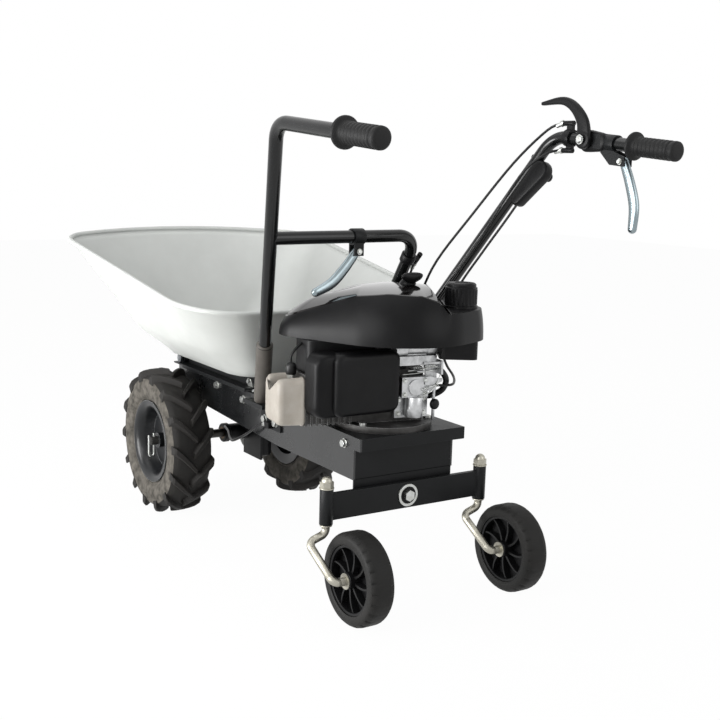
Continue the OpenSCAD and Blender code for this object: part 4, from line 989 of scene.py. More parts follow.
@dataclass
class CasterWheel:
    """A trailing wheel: spoked hub and solid tyre."""

    side: Side
    span: float = 350
    pivot_x: float = -715
    trail: float = 70
    offset: float = -27
    diameter: float = 170
    width: float = 50
    rod_r: float = 7.5
    spokes: int = 9
    blocks: int = 26

    def frame(self) -> Matrix:
        """Gives the wheel's frame, with its own Z to the left."""
        y = self.side.value * self.span / 2 + self.offset
        return axis_frame((self.pivot_x - self.trail, y, self.diameter / 2), (0, 1, 0))

    def tyre(self) -> None:
        """Builds the solid tyre with cuts along both shoulders."""
        inside = self.diameter / 2 - 21.9
        outside = self.diameter / 2
        half = self.width / 2
        shoulder = [
            (inside, half - 2), (inside + 2, half - 0.6), (inside + 4, half), (outside - 10, half),
            (outside - 6, half - 1.6), (outside - 3, half - 5), (outside - 0.8, half - 9),
            (outside, half - 13),
        ]
        profile = [(r, -h) for r, h in shoulder] + [(outside, 0)] + shoulder[::-1]
        middle = len(shoulder)
        depths = {5: 2.6, 6: 2.4, 7: 0.8}
        pitch = 6

        def cut(step: int, point: int) -> float:
            """Cuts in at each pitch, by half a pitch later on the far shoulder."""
            late = pitch // 2 if point > middle else 0
            return 0.0 if (step + late) % pitch else -depths.get(middle - abs(point - middle), 0.0)

        form = Form()
        form.revolve(profile, self.frame(), self.blocks * pitch, swell=cut)
        word = self.side.word()
        form.piece(f"{word}_caster_tread", CASTER_RUBBER, f"{word}_caster_wheel",
                   [f"{word}_caster_tyre"], sharp=28)

    def hub(self) -> None:
        """Builds the boss, the web, the rim band and the curved spokes."""
        rim_out = self.diameter / 2 - 22
        half = self.width / 2
        bore = self.rod_r + 0.05
        boss = self.rod_r + 8
        frame = self.frame()
        form = Form()
        form.revolve([
            (bore, -half - 1), (boss - 1, -half - 1), (boss, -half), (boss, half), (boss - 1, half + 1),
            (bore, half + 1),
        ], frame, 48)
        form.revolve([
            (boss - 1, -3), (rim_out - 5, -3), (rim_out - 5, -half + 5), (rim_out - 4, -half + 4),
            (rim_out - 0.6, -half + 4), (rim_out - 0.1, -half + 4.6), (rim_out - 0.1, half - 4.6),
            (rim_out - 0.6, half - 4), (rim_out - 4, half - 4), (rim_out - 5, half - 5), (rim_out - 5, 3),
            (boss - 1, 3),
        ], frame, 72)
        for number in range(self.spokes):
            self.spoke(form, frame, math.tau * number / self.spokes, boss - 1, rim_out - 4, half - 8)
        word = self.side.word()
        form.piece(f"{word}_spoked_hub", HUB_PLASTIC, f"{word}_caster_wheel",
                   [f"{word}_caster_hub"], sharp=35)

    def spoke(self, form: Form, frame: Matrix, first: float, r0: float, r1: float, half: float) -> None:
        """Adds one curved spoke, as a thin wall that bends round towards the rim.

        Args:
            form: The hub's mesh.
            frame: The wheel's frame.
            first: The spoke's angle at the boss.
            r0: Its inner radius.
            r1: Its outer radius.
            half: Half its height along the axle.
        """
        rings = []
        bend = math.radians(13)
        for k in range(8):
            t = k / 7
            r = r0 + (r1 - r0) * t
            a = first + bend * t * t
            thick = (2.2 - 0.7 * t) / r
            ring = []
            for turn, z in ((-thick, -half), (thick, -half), (thick, half), (-thick, half)):
                ring.append((r * math.cos(a + turn), r * math.sin(a + turn), z))
            rings.append(ring)
        form.loft(rings, frame, start=True, end=True)

    def build(self) -> None:
        """Builds the tyre and the hub."""
        self.tyre()
        self.hub()


@dataclass
class Cowl:
    """The engine's cowl: satin walls, a gloss top panel, a shelf for the filler and a pull grip."""

    yaw: float = -32
    base_z: float = 490
    crown: float = 100
    back_y: float = -97
    shelf_y: float = -110
    shelf: float = 58
    filler_y: float = -140
    neck_r: float = 42
    around: int = 120
    bulges: tuple[tuple[float, float], ...] = ((-20.0, 150.0), (-100.0, 85.0), (142.0, 60.0))

    def frame(self) -> Matrix:
        """Gives the cowl's frame: its own Y runs to the nose and its Z starts at the lower edge."""
        return turned_frame((CRANK_X, 0, self.base_z), self.yaw)

    def filler_frame(self) -> Matrix:
        """Gives the frame of the fuel filler on the shelf."""
        return self.frame() @ Matrix.Translation((0, self.filler_y, 0))

    def outline(self) -> list[tuple[float, float]]:
        """Draws the plan outline of the lower edge, round the cowl's three bulges.

        Returns:
            The outline's points.
        """
        points = []
        for k in range(self.around):
            a = math.tau * k / self.around
            reach = [(y * math.sin(a) + r, y, r) for y, r in self.bulges]
            _, y, r = max(reach)
            points.append((r * math.cos(a), y + r * math.sin(a)))
        return points

    def edge_height(self, y: float) -> float:
        """Gives the height of the line where the wall meets the top panel."""
        rows = ((self.shelf_y, self.shelf), (self.back_y, 77.0), (-60.0, 88.0), (0.0, 91.0), (60.0, 84.0),
                (120.0, 67.0), (170.0, 48.0), (202.0, 34.0))
        return table_value(rows, y)

    def edge_inset(self, y: float) -> float:
        """Gives how far that line lies inside the lower edge."""
        rows = ((self.shelf_y, 6.0), (self.back_y, 24.0), (-60.0, 33.0), (0.0, 36.0), (60.0, 32.0),
                (120.0, 24.0), (170.0, 16.0), (202.0, 12.0))
        return table_value(rows, y)

    def wall_point(self, base: tuple[float, float], t: float) -> Vector:
        """Gives a point of the wall, from the lower edge at t 0 to the panel's line at t 1.

        Args:
            base: The point of the lower edge in plan.
            t: The share of the way up.

        Returns:
            The point in the cowl's frame.
        """
        x, y = base
        centre = Vector((0.0, max(min(y, 110.0), -60.0)))
        away = Vector((x, y)) - centre
        inset = self.edge_inset(y) * t ** 2.2
        spot = centre + away * max(1 - inset / max(away.length, 1.0), 0.05)
        return Vector((spot.x, spot.y, self.edge_height(y) * t))

    def ridge_point(self, edge: Vector) -> Vector:
        """Finds the crest that a point of the panel's line leans towards.

        Args:
            edge: The point of the panel's line.

        Returns:
            The point of the crest in the cowl's frame.
        """
        y = max(min(edge.y * 0.82, 96.0), -74.0)
        rows = ((-106.0, 95.0), (-50.0, 99.6), (0.0, 99.2), (50.0, 94.0), (96.0, 80.0))
        return Vector((0.0, y, table_value(rows, y)))

    def dome_edge(self, base: tuple[float, float]) -> Vector:
        """Finds the panel's line, which runs straight across at the dome's back.

        Args:
            base: The point of the lower edge in plan.

        Returns:
            The point of the panel's line in the cowl's frame.
        """
        if base[1] > self.back_y:
            return self.wall_point(base, 1.0)
        return Vector((base[0] * 0.82, self.back_y + 6.6, self.edge_height(self.back_y)))

    def walls(self) -> None:
        """Builds the satin wall with a moulded line low down and a turned-in lower edge."""
        base = self.outline()
        lip = [(x * 0.975, y * 0.975, 2.0) for x, y in base]
        rings: list[list[Point]] = [lip, [(x, y, 0.0) for x, y in base]]
        for t in (0.04, 0.12, 0.2, 0.27, 0.36, 0.46, 0.56, 0.66, 0.76, 0.85, 0.93, 0.98, 1.0):
            rings.append([self.wall_point(p, t) for p in base])
        form = Form()
        form.loft(rings, self.frame())
        r = self.neck_r
        neck = [(r, -60), (r, 2), (r - 3, 2), (r - 3, -60)]
        form.revolve(neck, self.frame(), 48)
        turns = [math.tau * k / self.around for k in range(self.around)]
        hole = [(r * math.cos(a), r * math.sin(a), 2.0) for a in turns]
        form.loft([lip, hole], self.frame())
        form.piece("cowl_wall", COWL_SATIN, "chassis", ["cowl"], sharp=40)

    def panel(self) -> None:
        """Builds the gloss top panel, set in by a narrow line."""
        edges = [self.dome_edge(p) for p in self.outline()]
        rings: list[list[Point]] = [list(edges)]
        for t in (0.02, 0.035):
            down = 1.6 if t < 0.03 else 1.2
            rings.append([e.lerp(self.ridge_point(e), t) - Vector((0, 0, down)) for e in edges])
        for t in (0.05, 0.08, 0.16, 0.28, 0.42, 0.58, 0.74, 0.88, 1.0):
            ring = []
            for e in edges:
                crest = self.ridge_point(e)
                spot = e.lerp(crest, t)
                spot.z = e.z + (crest.z - e.z) * (1 - (1 - t) ** 2)
                ring.append(spot)
            rings.append(ring)
        form = Form()
        form.loft(rings, self.frame())
        form.piece("cowl_panel", COWL_GLOSS, "chassis", sharp=32)

    def tail(self) -> None:
        """Builds the ramp behind the dome and the shelf that carries the fuel filler."""
        form = Form()
        ramp: list[list[Point]] = []
        middle_y, middle_r = self.bulges[0]
        for k in range(7):
            y = self.back_y + (self.shelf_y - self.back_y) * k / 6
            edge = self.wall_point((math.sqrt(middle_r ** 2 - (y - middle_y) ** 2), y), 1.0)
            ramp.append([(edge.x * u, edge.y, edge.z) for u in (-1, -0.5, 0, 0.5, 1)])
        form.loft(ramp, self.frame(), around=False)
        edge = [self.wall_point(p, 1.0) for p in self.outline() if p[1] < self.shelf_y]
        inner = [(p.x * 0.97, -130 + (p.y + 130) * 0.97, p.z + 0.4) for p in edge]
        form.loft([edge, inner], self.frame(), end=True)
        collar = [(23.5, 57), (33, 57), (32, 62), (30, 63.4), (23.5, 63.4)]
        form.revolve(collar, self.filler_frame(), 48)
        form.piece("cowl_shelf", COWL_SATIN, "chassis", sharp=38)

    def cap(self) -> None:
        """Builds the ribbed filler cap."""
        low, top, r = self.shelf + 1.5, self.crown + 5, 30.0
        profile = [
            (23.2, low), (r - 1, low), (r + 0.6, low + 1.5), (r + 0.6, low + 5), (r - 0.4, low + 7),
            (r - 0.4, top - 14), (r + 0.4, top - 12), (r + 0.4, top - 9), (r - 2, top - 7.5),
            (r - 2, top - 3), (r - 4.5, top - 0.4), (r - 8, top), (14, top), (12.5, top - 1.4),
            (POLE, top - 1.4),
        ]

        def ribs(step: int, point: int) -> float:
            """Raises two steps in four between the cap's two bands."""
            return 1.3 if point in (4, 5) and step % 4 < 2 else 0.0

        form = Form()
        form.revolve(profile, self.filler_frame(), 96, closed=False, swell=ribs)
        form.piece("filler_cap", BOX_PLASTIC, "filler", ["fuel_cap"], sharp=40)

    def grip(self) -> None:
        """Builds the flat oval pull grip and its rope guide."""
        seat = Vector((-652, -37, self.base_z + self.crown + 6))
        way = Vector((-0.6, 0.0, 0.8))
        frame = axis_frame(seat + way * 0.5, way, (0, 1, 0))
        form = Form()
        stations = ((-0.2, 8.5, 13.0), (2.5, 9.0, 18.0), (6, 9.0, 22.5), (10, 8.4, 24.0), (13.5, 7.0, 23.0),
                    (16, 4.6, 19.0), (17.4, 2.4, 13.0), (17.8, 0.6, 6.0))
        rings = []
        for z, short, long in stations:
            rings.append([(long * math.cos(math.tau * k / 28), short * math.sin(math.tau * k / 28), z)
                          for k in range(28)])
        form.loft(rings, frame, start=True, end=True)
        form.piece("starter_grip_moulding", BOX_PLASTIC, "starter_grip", ["starter_handle"], sharp=50)
        guide = Form()
        guide.revolve([(4, -18), (17, -18), (15, -8), (12.5, -2), (10, 0), (4, -0.8)],
                      axis_frame(seat, way, (0, 1, 0)), 36)
        guide.piece("starter_rope_guide", COWL_SATIN, "chassis")

    def build(self) -> None:
        """Builds the cowl's pieces."""
        self.walls()
        self.panel()
        self.tail()
        self.cap()
        self.grip()


@dataclass
class Engine:
    """What shows of the engine under the cowl: filter box, head cover, carburettor, plug and hose."""

    yaw: float = -10
    deck_z: float = 320
    flat: float = 38
    head_y: float = 174
    cowl_low: float = 169.6

    def frame(self) -> Matrix:
        """Gives the engine's frame: its own Y runs along the cylinder and Z starts at the deck."""
        return turned_frame((CRANK_X, 0, self.deck_z), self.yaw)

    def filter_box(self) -> None:
        """Builds the filter housing with its rounded face, and the lobe over the cylinder."""
        z = self.deck_z
        rows = (
            (-674.0, 0.0), (-678.0, 0.0), (-679.0, 1.0), (-680.5, 1.0), (-681.5, 0.0), (-690.0, 0.4),
            (-694.0, 1.6), (-697.0, 3.8), (-699.0, 7.2), (-699.8, 11.0), (-700.0, 16.0),
        )
        rings = []
        for x, inset in rows:
            low, high = z + 36 + inset, z + 154 - inset
            outline = rounded_outline(8 + inset, 150 - inset, low, high, (18, 18), 10, 6)
            rings.append([(x, y, h) for y, h in outline])
        form = Form()
        form.loft(rings, end=True, start=True)
        form.piece("filter_box", BOX_PLASTIC, "chassis", ["air_filter"], sharp=50)
        lobe = Form()
        rings = []
        for x, inset in ((-646, 0), (-676, 0), (-682, 1.4), (-686, 4.5), (-687.4, 9)):
            low, high = z + 34 + inset, z + 152 - inset
            outline = rounded_outline(112 + inset, 184 - inset, low, high, (22, 22), 10, 4)
            rings.append([(x, y, h) for y, h in outline])
        lobe.loft(rings, start=True, end=True)
        lobe.piece("filter_lobe", COWL_SATIN, "chassis", sharp=50)

    def shroud(self) -> None:
        """Builds the cylinder's air guide and the intake's bright housing, close under the cowl."""
        frame = self.frame()
        guide = Form()
        outline = rounded_outline(-30, 50, 30, 166, (16, 16), 6, 2)
        guide.slab(outline, 106, self.cowl_low, frame)
        guide.slab(rounded_outline(-24, 60, -66, 40, (20, 30), 6, 2), 132, self.cowl_low, frame)
        guide.piece("air_guide", BOX_PLASTIC, "chassis", sharp=40, bevel=1.5)
        intake = Form()
        face = -self.flat
        intake.slab(rounded_outline(face - 26, face + 20, -80, 14, (5, 5), 4, 2), 122, 140, frame)
        elbow = [
            (POLE, -84), (13, -84), (14, -82), (14, -60), (12, -58), (12, -20), (15, -18), (15, 6), (POLE, 6),
        ]
        intake.revolve(elbow, frame @ axis_frame((face - 14, 0, 153), (0, 1, 0)), 32, closed=False)
        intake.slab(rounded_outline(face - 20, face + 10, -66, -8, (4, 4), 4, 2), 140, 169, frame)
        intake.piece("intake_housing", ALLOY, "chassis", sharp=35, bevel=0.8)

    def head(self) -> None:
        """Builds the pale head cover with its notch, and the round of its corners."""
        frame = self.frame()
        rings = []
        stations = (
            (0.0, 0.0), (2.0, -1.5), (5.0, -1.5), (7.0, 0.0), (40.0, 0.8), (47.0, 2.4), (50.5, 5.5),
            (52.0, 10.0),
        )
        for out, inset in stations:
            y = self.head_y + out
            x0, x1, z0, z1 = -40 + inset, 44 - inset, 14 + inset, 102 - inset
            outline = [
                (x0 + 10, z0), (x1 - 10, z0), (x1 - 4, z0 + 3), (x1, z0 + 10), (x1, z1 - 12),
                (x1 - 4, z1 - 4), (x1 - 10, z1), (26, z1), (21, z1 - 4), (18, z1 - 16), (12, z1 - 18),
                (-10, z1 - 18), (-16, z1 - 16), (-19, z1 - 4), (-24, z1), (x0 + 10, z1),
                (x0 + 3, z1 - 4), (x0, z1 - 12), (x0, z0 + 10), (x0 + 4, z0 + 3),
            ]
            rings.append([(x, y, h) for x, h in outline])
        form = Form()
        form.loft(rings, frame, start=True, end=True)
        form.piece("head_casting", HEAD_ENAMEL, "chassis", ["head_cover"], sharp=50, bevel=1.2)

    def plug(self) -> None:
        """Builds the plug, its cap and the lead up to the cowl."""
        frame = self.frame()
        y = self.head_y + 14
        at_plug = frame @ Matrix.Translation((2, y, 0))
        form = Form()
        body = [(POLE, 84), (6, 84), (8, 85.5), (8, 90), (6, 91), (6, 97), (8.2, 98), (8.2, 106)]
        form.revolve(body, at_plug, 6, closed=False)
        form.piece("plug_body", BOLT_ZINC, "chassis", ["spark_plug"], sharp=25)
        boot = Form()
        sleeve = [(POLE, 104), (9, 104), (10, 106), (10, 120), (8, 124), (4, 126), (POLE, 126)]
        boot.revolve(sleeve, at_plug, 32, closed=False)
        boot.piece("plug_boot", CABLE_VINYL, "chassis", sharp=50)
        spots = ((2, y, 124), (2, y + 1, 136), (3, y - 6, 148), (6, y - 18, 158), (8, y - 34, 166))
        route = [frame @ Vector(p) for p in spots]
        lay_cord("plug_lead", route, 5, CABLE_VINYL)

    def hose(self) -> None:
        """Builds the breather hose from the crankcase to the carburettor."""
        frame = self.frame()
        spots = (
            (-26, -70.5, 112), (-32, -86, 112), (-38, -102, 104), (-40, -112, 86), (-32, -108, 66),
            (-20, -92, 54), (-10, -76, 52),
        )
        route = [frame @ Vector(p) for p in spots]
        lay_cord("breather_pipe", route, 12, CABLE_VINYL, ["breather_hose"])

    def carburettor(self) -> None:
        """Builds the small fittings on the carburettor: screws, link rods, springs and a choke plate."""
        frame = self.frame()
        face = -self.flat - 0.5
        screws = Form()
        for y, h in ((-14, 94), (-56, 94), (-14, 68), (-56, 68)):
            screws.screw(frame, (face - 26, y, h), (-1, 0, 0), 4.2)
        for y, h in ((-62, 28), (-10, 28), (-62, 54), (-10, 54)):
            screws.screw(frame, (face - 8, y, h), (-1, 0, 0), 4.6)
        screws.screw(frame, (face - 22, -88, 120), (0, -1, 0), 3.6)
        screws.piece("carburettor_screws", BOLT_ZINC, "chassis", sharp=30)
        links = Form()
        for path in (
            ((face - 24, -20, 112), (face - 26, -44, 114), (face - 28, -70, 119), (face - 26, -85, 116)),
            ((face - 18, -12, 104), (face - 20, -40, 106), (face - 22, -66, 110), (face - 18, -84, 112)),
            ((face - 30, -36, 60), (face - 32, -60, 70), (face - 30, -78, 88), (face - 28, -86, 106)),
        ):
            links.tube([frame @ p for p in eased(path, 6)], 1.1, 8)
        links.piece("governor_links", BOLT_ZINC, "chassis", sharp=60)
        springs = Form()
        for start, end in (
            ((face - 30, -30, 118), (face - 30, -72, 122)),
            ((face - 32, -44, 76), (face - 30, -80, 84)),
        ):
            springs.tube([frame @ p for p in self.coil(Vector(start), Vector(end), 2.6, 11)], 0.55, 6)
        springs.piece("governor_springs", BOLT_ZINC, "chassis", sharp=60)
        plates = Form()
        choke = [(-7, -6), (7, -6), (9, 4), (6, 20), (2, 30), (-4, 30), (-5, 18), (-9, 4)]
        plates.slab(choke, 0, 1.6, frame @ axis_frame((face - 27, -60, 92), (-1, 0, 0), (0, 0, 1)))
        plates.slab([(-22, -8), (16, -8), (20, 0), (16, 8), (-22, 8)], 0, 2.0,
                    frame @ axis_frame((face - 22, -40, 112), (0, 0, 1)))
        plates.piece("choke_plates", ALLOY, "chassis", sharp=30, bevel=0.4)
        knob = Form()
        knob.revolve([(POLE, 0), (9, 0), (10, 1.2), (10, 7), (8.5, 9), (5, 10), (POLE, 10)],
                     frame @ axis_frame((face - 20, -76, 46), (-1, -0.4, 0)), 24, closed=False)
        knob.piece("drain_knob", BOX_PLASTIC, "chassis", sharp=40)

    @staticmethod
    def coil(start: Vector, end: Vector, radius: float, turns: int) -> list[Vector]:
        """Winds a spring between two points.

        Args:
            start: One end of its axis.
            end: The other end.
            radius: The coil's radius.
            turns: The number of turns.

        Returns:
            The wire's points.
        """
        frame = axis_frame(start, end - start)
        long = (end - start).length
        count = turns * 10
        points = []
        for k in range(count + 1):
            a = math.tau * turns * k / count
            points.append(frame @ Vector((radius * math.cos(a), radius * math.sin(a), long * k / count)))
        return points

    def build(self) -> None:
        """Builds the engine's visible pieces."""
        self.filter_box()
        self.shroud()
        self.head()
        self.plug()
        self.hose()
        self.carburettor()


def lay_cord(
    name: str, route: Sequence[Point], diameter: float, finish: Finish, replaces: Sequence[str] = ()
) -> None:
    """Lays a cable or hose along a route, as one smooth curve that goes back into the barrow.

    Args:
        name: The piece's name.
        route: The given points of its centre line, in millimetres.
        diameter: Its outside diameter in millimetres.
        finish: What it is made of.
        replaces: The solids that it stands for.
    """
    points = [place(p) for p in eased(route, CORD_STEPS)]
    curve = bpy.data.curves.new(name, "CURVE")
    curve.dimensions = "3D"
    curve.bevel_depth = diameter / 2 * MM
    curve.bevel_resolution = 4
    curve.use_fill_caps = True
    spline = curve.splines.new("POLY")
    spline.points.add(len(points) - 1)
    for point, spot in zip(spline.points, points):
        point.co = (*spot, 1.0)
    spline.use_smooth = True
    curve.materials.append(material_of(finish))
    piece = stand(name, curve)
    enrol(piece, "chassis", replaces)


@dataclass
class Controls:
    """Hand grips, handle sockets, levers, the throttle pod, and the control cables with their adjusters."""

    foot_x: float = -395
    foot_y: float = 138
    foot_z: float = 330
    span: float = 600
    bend_x: float = -738
    bend_z: float = 872
    end_x: float = -1044
    drop: float = 28
    pod_z: float = 804
    pod_out: float = 29
    grip_l: float = 102
    grip_d: float = 33
    guard_d: float = 50
    cable_d: float = 5
    drive_pivot: tuple[float, float, float] = (-841, -277.5, 864)
    brake_pivot: tuple[float, float, float] = (-922, -300, 826)
    reverse_pivot: tuple[float, float, float] = (-600, 52, 648)

    def handle_foot(self, side: Side) -> Vector:
        """Gives the foot of one handle tube."""
        return Vector((self.foot_x, side.value * self.foot_y, self.foot_z))

    def handle_bend(self, side: Side) -> Vector:
        """Gives the bend of one handle tube."""
        return Vector((self.bend_x, side.value * self.span / 2, self.bend_z))

    def cables(self) -> None:
        """Lays the five control cables from their ferrules to the deck, the engine and the gear case."""
        routes = {
            "drive_cable": (
                (-759, -300, 895), (-728, -290, 882), (-688, -245, 819), (-636, -190, 717), (-585, -148, 625),
                (-545, -140, 552), (-510, -140, 480), (-488, -126, 400), (-485, -105, 321)),
            "brake_cable": (
                (-759, -300, 845), (-742, -276, 837), (-704, -248, 794), (-622, -222, 665), (-545, -190, 544),
                (-480, -158, 442), (-430, -118, 365), (-420, -101, 321)),
            "throttle_cable": (
                self.pod_frame() @ Vector((-66, -6, 0)), (-660, -251, 702), (-622, -230, 640),
                (-586, -208, 576), (-562, -190, 512), (-568, -178, 456), (-602, -168, 420),
                (-650, -150, 405), (-690, -122, 401), (-706, -100, 400), (-697, -73.9, 400)),
            "reverse_cable": (
                (-545, -121, 617), (-535, -122, 600), (-515, -121, 560), (-490, -119, 500), (-466, -114, 420),
                (-455, -100, 321)),
            "gear_cable": (
                (-30, 41, 190), (-90, 62, 194), (-170, 96, 198), (-240, 122, 212), (-310, 128, 242),
                (-362, 124.5, 274), (-387, 124, 280)),
        }
        for number, (name, route) in enumerate(routes.items()):
            lay_cord(name, route, self.cable_d, CABLE_VINYL, ["control_cables"] if number == 0 else [])

    def grip(self, form: Form, side: Side) -> None:
        """Adds one grip: a guard, fingers of soft rubber and a rounded end.

        Args:
            form: The mesh of both grips.
            side: Which hand it is for.
        """
        end = Vector((self.end_x, side.value * self.span / 2, self.bend_z - self.drop))
        way = (end - self.handle_bend(side)).normalized()
        frame = axis_frame(end - way * self.grip_l, way)
        r, guard = self.grip_d / 2, self.guard_d / 2
        profile = [
            (12.05, 0), (guard - 2, 0), (guard, 1.6), (guard, 4.6), (guard - 1.6, 6.6), (r + 3, 8),
            (r + 0.4, 11),
        ]
        z = 14.0
        while z < self.grip_l - 16:
            profile += [(r - 0.6, z), (r + 0.9, z + 1.6), (r + 0.9, z + 5.2), (r - 0.6, z + 6.8)]
            z += 9.5
        profile += [(r + 0.6, self.grip_l - 10), (r + 1.0, self.grip_l - 7), (r + 0.6, self.grip_l - 3),
                    (r - 2.5, self.grip_l - 0.6), (r - 6, self.grip_l), (POLE, self.grip_l)]
        form.revolve(profile, frame, 56, closed=False)

    def pod_frame(self) -> Matrix:
        """Works out the throttle pod's frame beside the right handle.

        Returns:
            The frame: X up the handle, Y back from it and Z out to the right.
        """
        foot, bend = self.handle_foot(Side.RIGHT), self.handle_bend(Side.RIGHT)
        up = (bend - foot).normalized()
        back = Vector((-up.z, 0.0, up.x)).normalized()
        frame = Matrix((up, back, up.cross(back))).transposed().to_4x4()
        frame.translation = foot.lerp(bend, (self.pod_z - foot.z) / (bend.z - foot.z)) + back * self.pod_out
        return frame

    def pod(self) -> None:
        """Builds the throttle's smooth round-ended pod."""
        form = Form()
        rings = []
        for z, inset in ((-12, 6), (-11.4, 3), (-9.5, 1), (-6, 0), (6, 0), (9.5, 1), (11.4, 3), (12, 6)):
            outline = two_lobes((16, -4, 21 - inset), (-54, -8, 12 - inset))
            rings.append([(x, y, z) for x, y in outline])
        form.loft(rings, self.pod_frame(), start=True, end=True)
        form.piece("throttle_pod", BOX_PLASTIC, "chassis", ["throttle_housing"], sharp=50)

    @staticmethod
    def bent_lever(form: Form, frame: Matrix, bends: Sequence[Point], half: float, power: float) -> None:
        """Adds a lever that curves in the frame's own XY plane and ends in a round tip.

        Args:
            form: The mesh that it joins.
            frame: The frame, with its origin on the pivot.
            bends: Points of the middle line, each with half the lever's width as third value.
            half: Half the lever's thickness.
            power: How square the section is; 1 is an ellipse and 0 a rectangle.
        """
        points = eased(bends, 7)
        last = len(points) - 1
        rings = []
        for i, p in enumerate(points):
            along = (points[min(i + 1, last)] - points[max(i - 1, 0)]).xy.normalized()
            ring = []
            for k in range(20):
                c, s = math.cos(math.tau * k / 20), math.sin(math.tau * k / 20)
                u = math.copysign(abs(c) ** power, c) * p.z
                v = math.copysign(abs(s) ** power, s) * half
                ring.append(Vector((p.x - along.y * u, p.y + along.x * u, v)))
            rings.append(ring)
        tip = Vector((points[last].x, points[last].y, 0.0))
        way = Vector((along.x, along.y, 0.0)) * points[last].z
        for share in (0.92, 0.72, 0.4, 0.05):
            rings.append([tip + way * math.sqrt(1 - share ** 2) + (q - tip) * share for q in rings[last]])
        form.loft(rings, frame, start=True, end=True)
        r = bends[0][2]
        form.revolve([(POLE, -half), (r - 2, -half), (r - 0.5, 0.6 - half), (r, 2 - half), (r, half - 2),
                      (r - 0.5, half - 0.6), (r - 2, half), (POLE, half)], frame, 40, closed=False)

    def levers(self) -> None:
        """Builds the hooked drive lever and the two plated hand levers."""
        upright = Matrix.Rotation(math.radians(90), 4, "X")
        drive = Form()
        hook = ((0, 0, 17), (4, 29, 13.5), (20, 51, 10.5), (42, 66, 8.5), (67, 71, 7), (112, 67, 3.5))
        self.bent_lever(drive, Matrix.Translation(self.drive_pivot) @ upright, hook, 6, 0.6)
        drive.piece("hooked_lever", BOX_PLASTIC, "drive_hook", ["drive_lever"], sharp=50)
        seats = {
            "brake": (133, turned_frame(self.brake_pivot, 0), -24),
            "reverse": (125, turned_frame(self.reverse_pivot, 90), 40),
        }
        for word, (long, seat, lean) in seats.items():
            frame = seat @ upright @ Matrix.Rotation(math.radians(lean), 4, "Z")
            form = Form()
            curve = ((0, 0, 8), (-1, -0.3 * long, 9.5), (3, -0.62 * long, 10), (0.15 * long, -0.9 * long, 8))
            self.bent_lever(form, frame, curve, 6.4, 0.7)
            form.piece(f"{word}_pressing", LEVER_PLATE, f"{word}_hand", [f"{word}_lever"], sharp=50)

    def fittings(self) -> None:
        """Builds the drive lever's cast seat, the pivot screws and the cables' adjusters."""
        seat = Form()
        rings = []
        for z, inset in ((-5.8, 2), (-4, 0), (7, 0)):
            outline = two_lobes((0, -2, 20 - inset), (-27, -4, 17 - inset))
            rings.append([(x, y, z) for x, y in outline])
        x, y, z = self.drive_pivot
        frame = Matrix.Translation((x, y - 12.5, z)) @ Matrix.Rotation(math.radians(90), 4, "X")
        seat.loft(rings, frame, start=True, end=True)
        seat.piece("lever_seat", BOX_PLASTIC, "chassis", sharp=50)
        form = Form()
        flat = Matrix.Identity(4)
        form.screw(flat, (x, y + 10.5, z), (0, 1, 0), 7)
        for side in Side:
            for pivot, axis in ((self.brake_pivot, (0, 1, 0)), (self.reverse_pivot, (1, 0, 0))):
                way = Vector(axis) * side.value
                form.screw(flat, Vector(pivot) + way * 11.5, way, 4.5)
        form.piece("pivot_screws", BOLT_ZINC, "chassis", sharp=30)
        barrels = Form()
        barrel = [(2.4, -3), (6, -3), (6, 3), (4.2, 3.6), (4.2, 12), (3.4, 14), (2.4, 14)]
        ends = {
            (-760, -300, 895): (31, 10, -13), (-760, -300, 845): (18, 14, -6),
            (-545, -121, 617): (10, -1, -17), (-388, 124, 280): (25, 0.5, -6),
        }
        for spot, way in ends.items():
            barrels.revolve(barrel, axis_frame(spot, way), 24)
        barrels.piece("cable_adjusters", BOLT_ZINC, "chassis", sharp=30)

    def sockets(self) -> None:
        """Builds the grey sleeves that the handle tubes stand in."""
        form = Form()
        profile = [(12.1, 163), (14.4, 162.4), (15.8, 160), (16.3, 156), (16.3, 8), (12.1, 8)]
        for side in Side:
            foot = self.handle_foot(side)
            form.revolve(profile, axis_frame(foot, self.handle_bend(side) - foot), 40)
        form.piece("handle_sockets", BRACKET_COAT, "chassis", sharp=50)

    def grips(self) -> None:
        """Builds both grips."""
        form = Form()
        for side in Side:
            self.grip(form, side)
        form.piece("ribbed_grips", GRIP_RUBBER, "chassis", ["handle_grips"], sharp=50)

    def build(self) -> None:
        """Builds the cables, the grips, the sockets, the pod, the levers and their fittings."""
        self.cables()
        self.grips()
        self.sockets()
        self.pod()
        self.levers()
        self.fittings()


@dataclass
class RearEnd:
    """Small dark pieces at the rear: the box's lower lip and a thin black ring round the beam's bolt, which
    paints the shade in the bush's hollow.
    """

    box_x: float = -705
    plate_t: float = 4
    lip_half: float = 111
    lip_low: float = 216
    lip_high: float = 242
    beam_z: float = 201
    ring_x: float = -721.4

    def build(self) -> None:
        """Builds the lip and the ring of painted shade."""
        lip = Form()
        half, low, high = self.lip_half, self.lip_low, self.lip_high
        outline = [(-half, low), (half, low), (half, high), (-half, high)]
        faces = (self.box_x, self.box_x + self.plate_t)
        lip.loft([[(x, y, z) for y, z in outline] for x in faces], start=True, end=True)
        lip.piece("box_lower_lip", PLATE_COAT, "chassis", bevel=0.6)
        # A thin black ring in the bush round the bolt: painted shade in its hollow
        ring = Form()
        seat = axis_frame((self.ring_x, 0, self.beam_z), (-1, 0, 0))
        ring.revolve([(7, 0), (16, 0), (16, 0.6), (7, 0.6)], seat, 40)
        ring.piece("bolt_seal_ring", BOX_PLASTIC, "chassis")


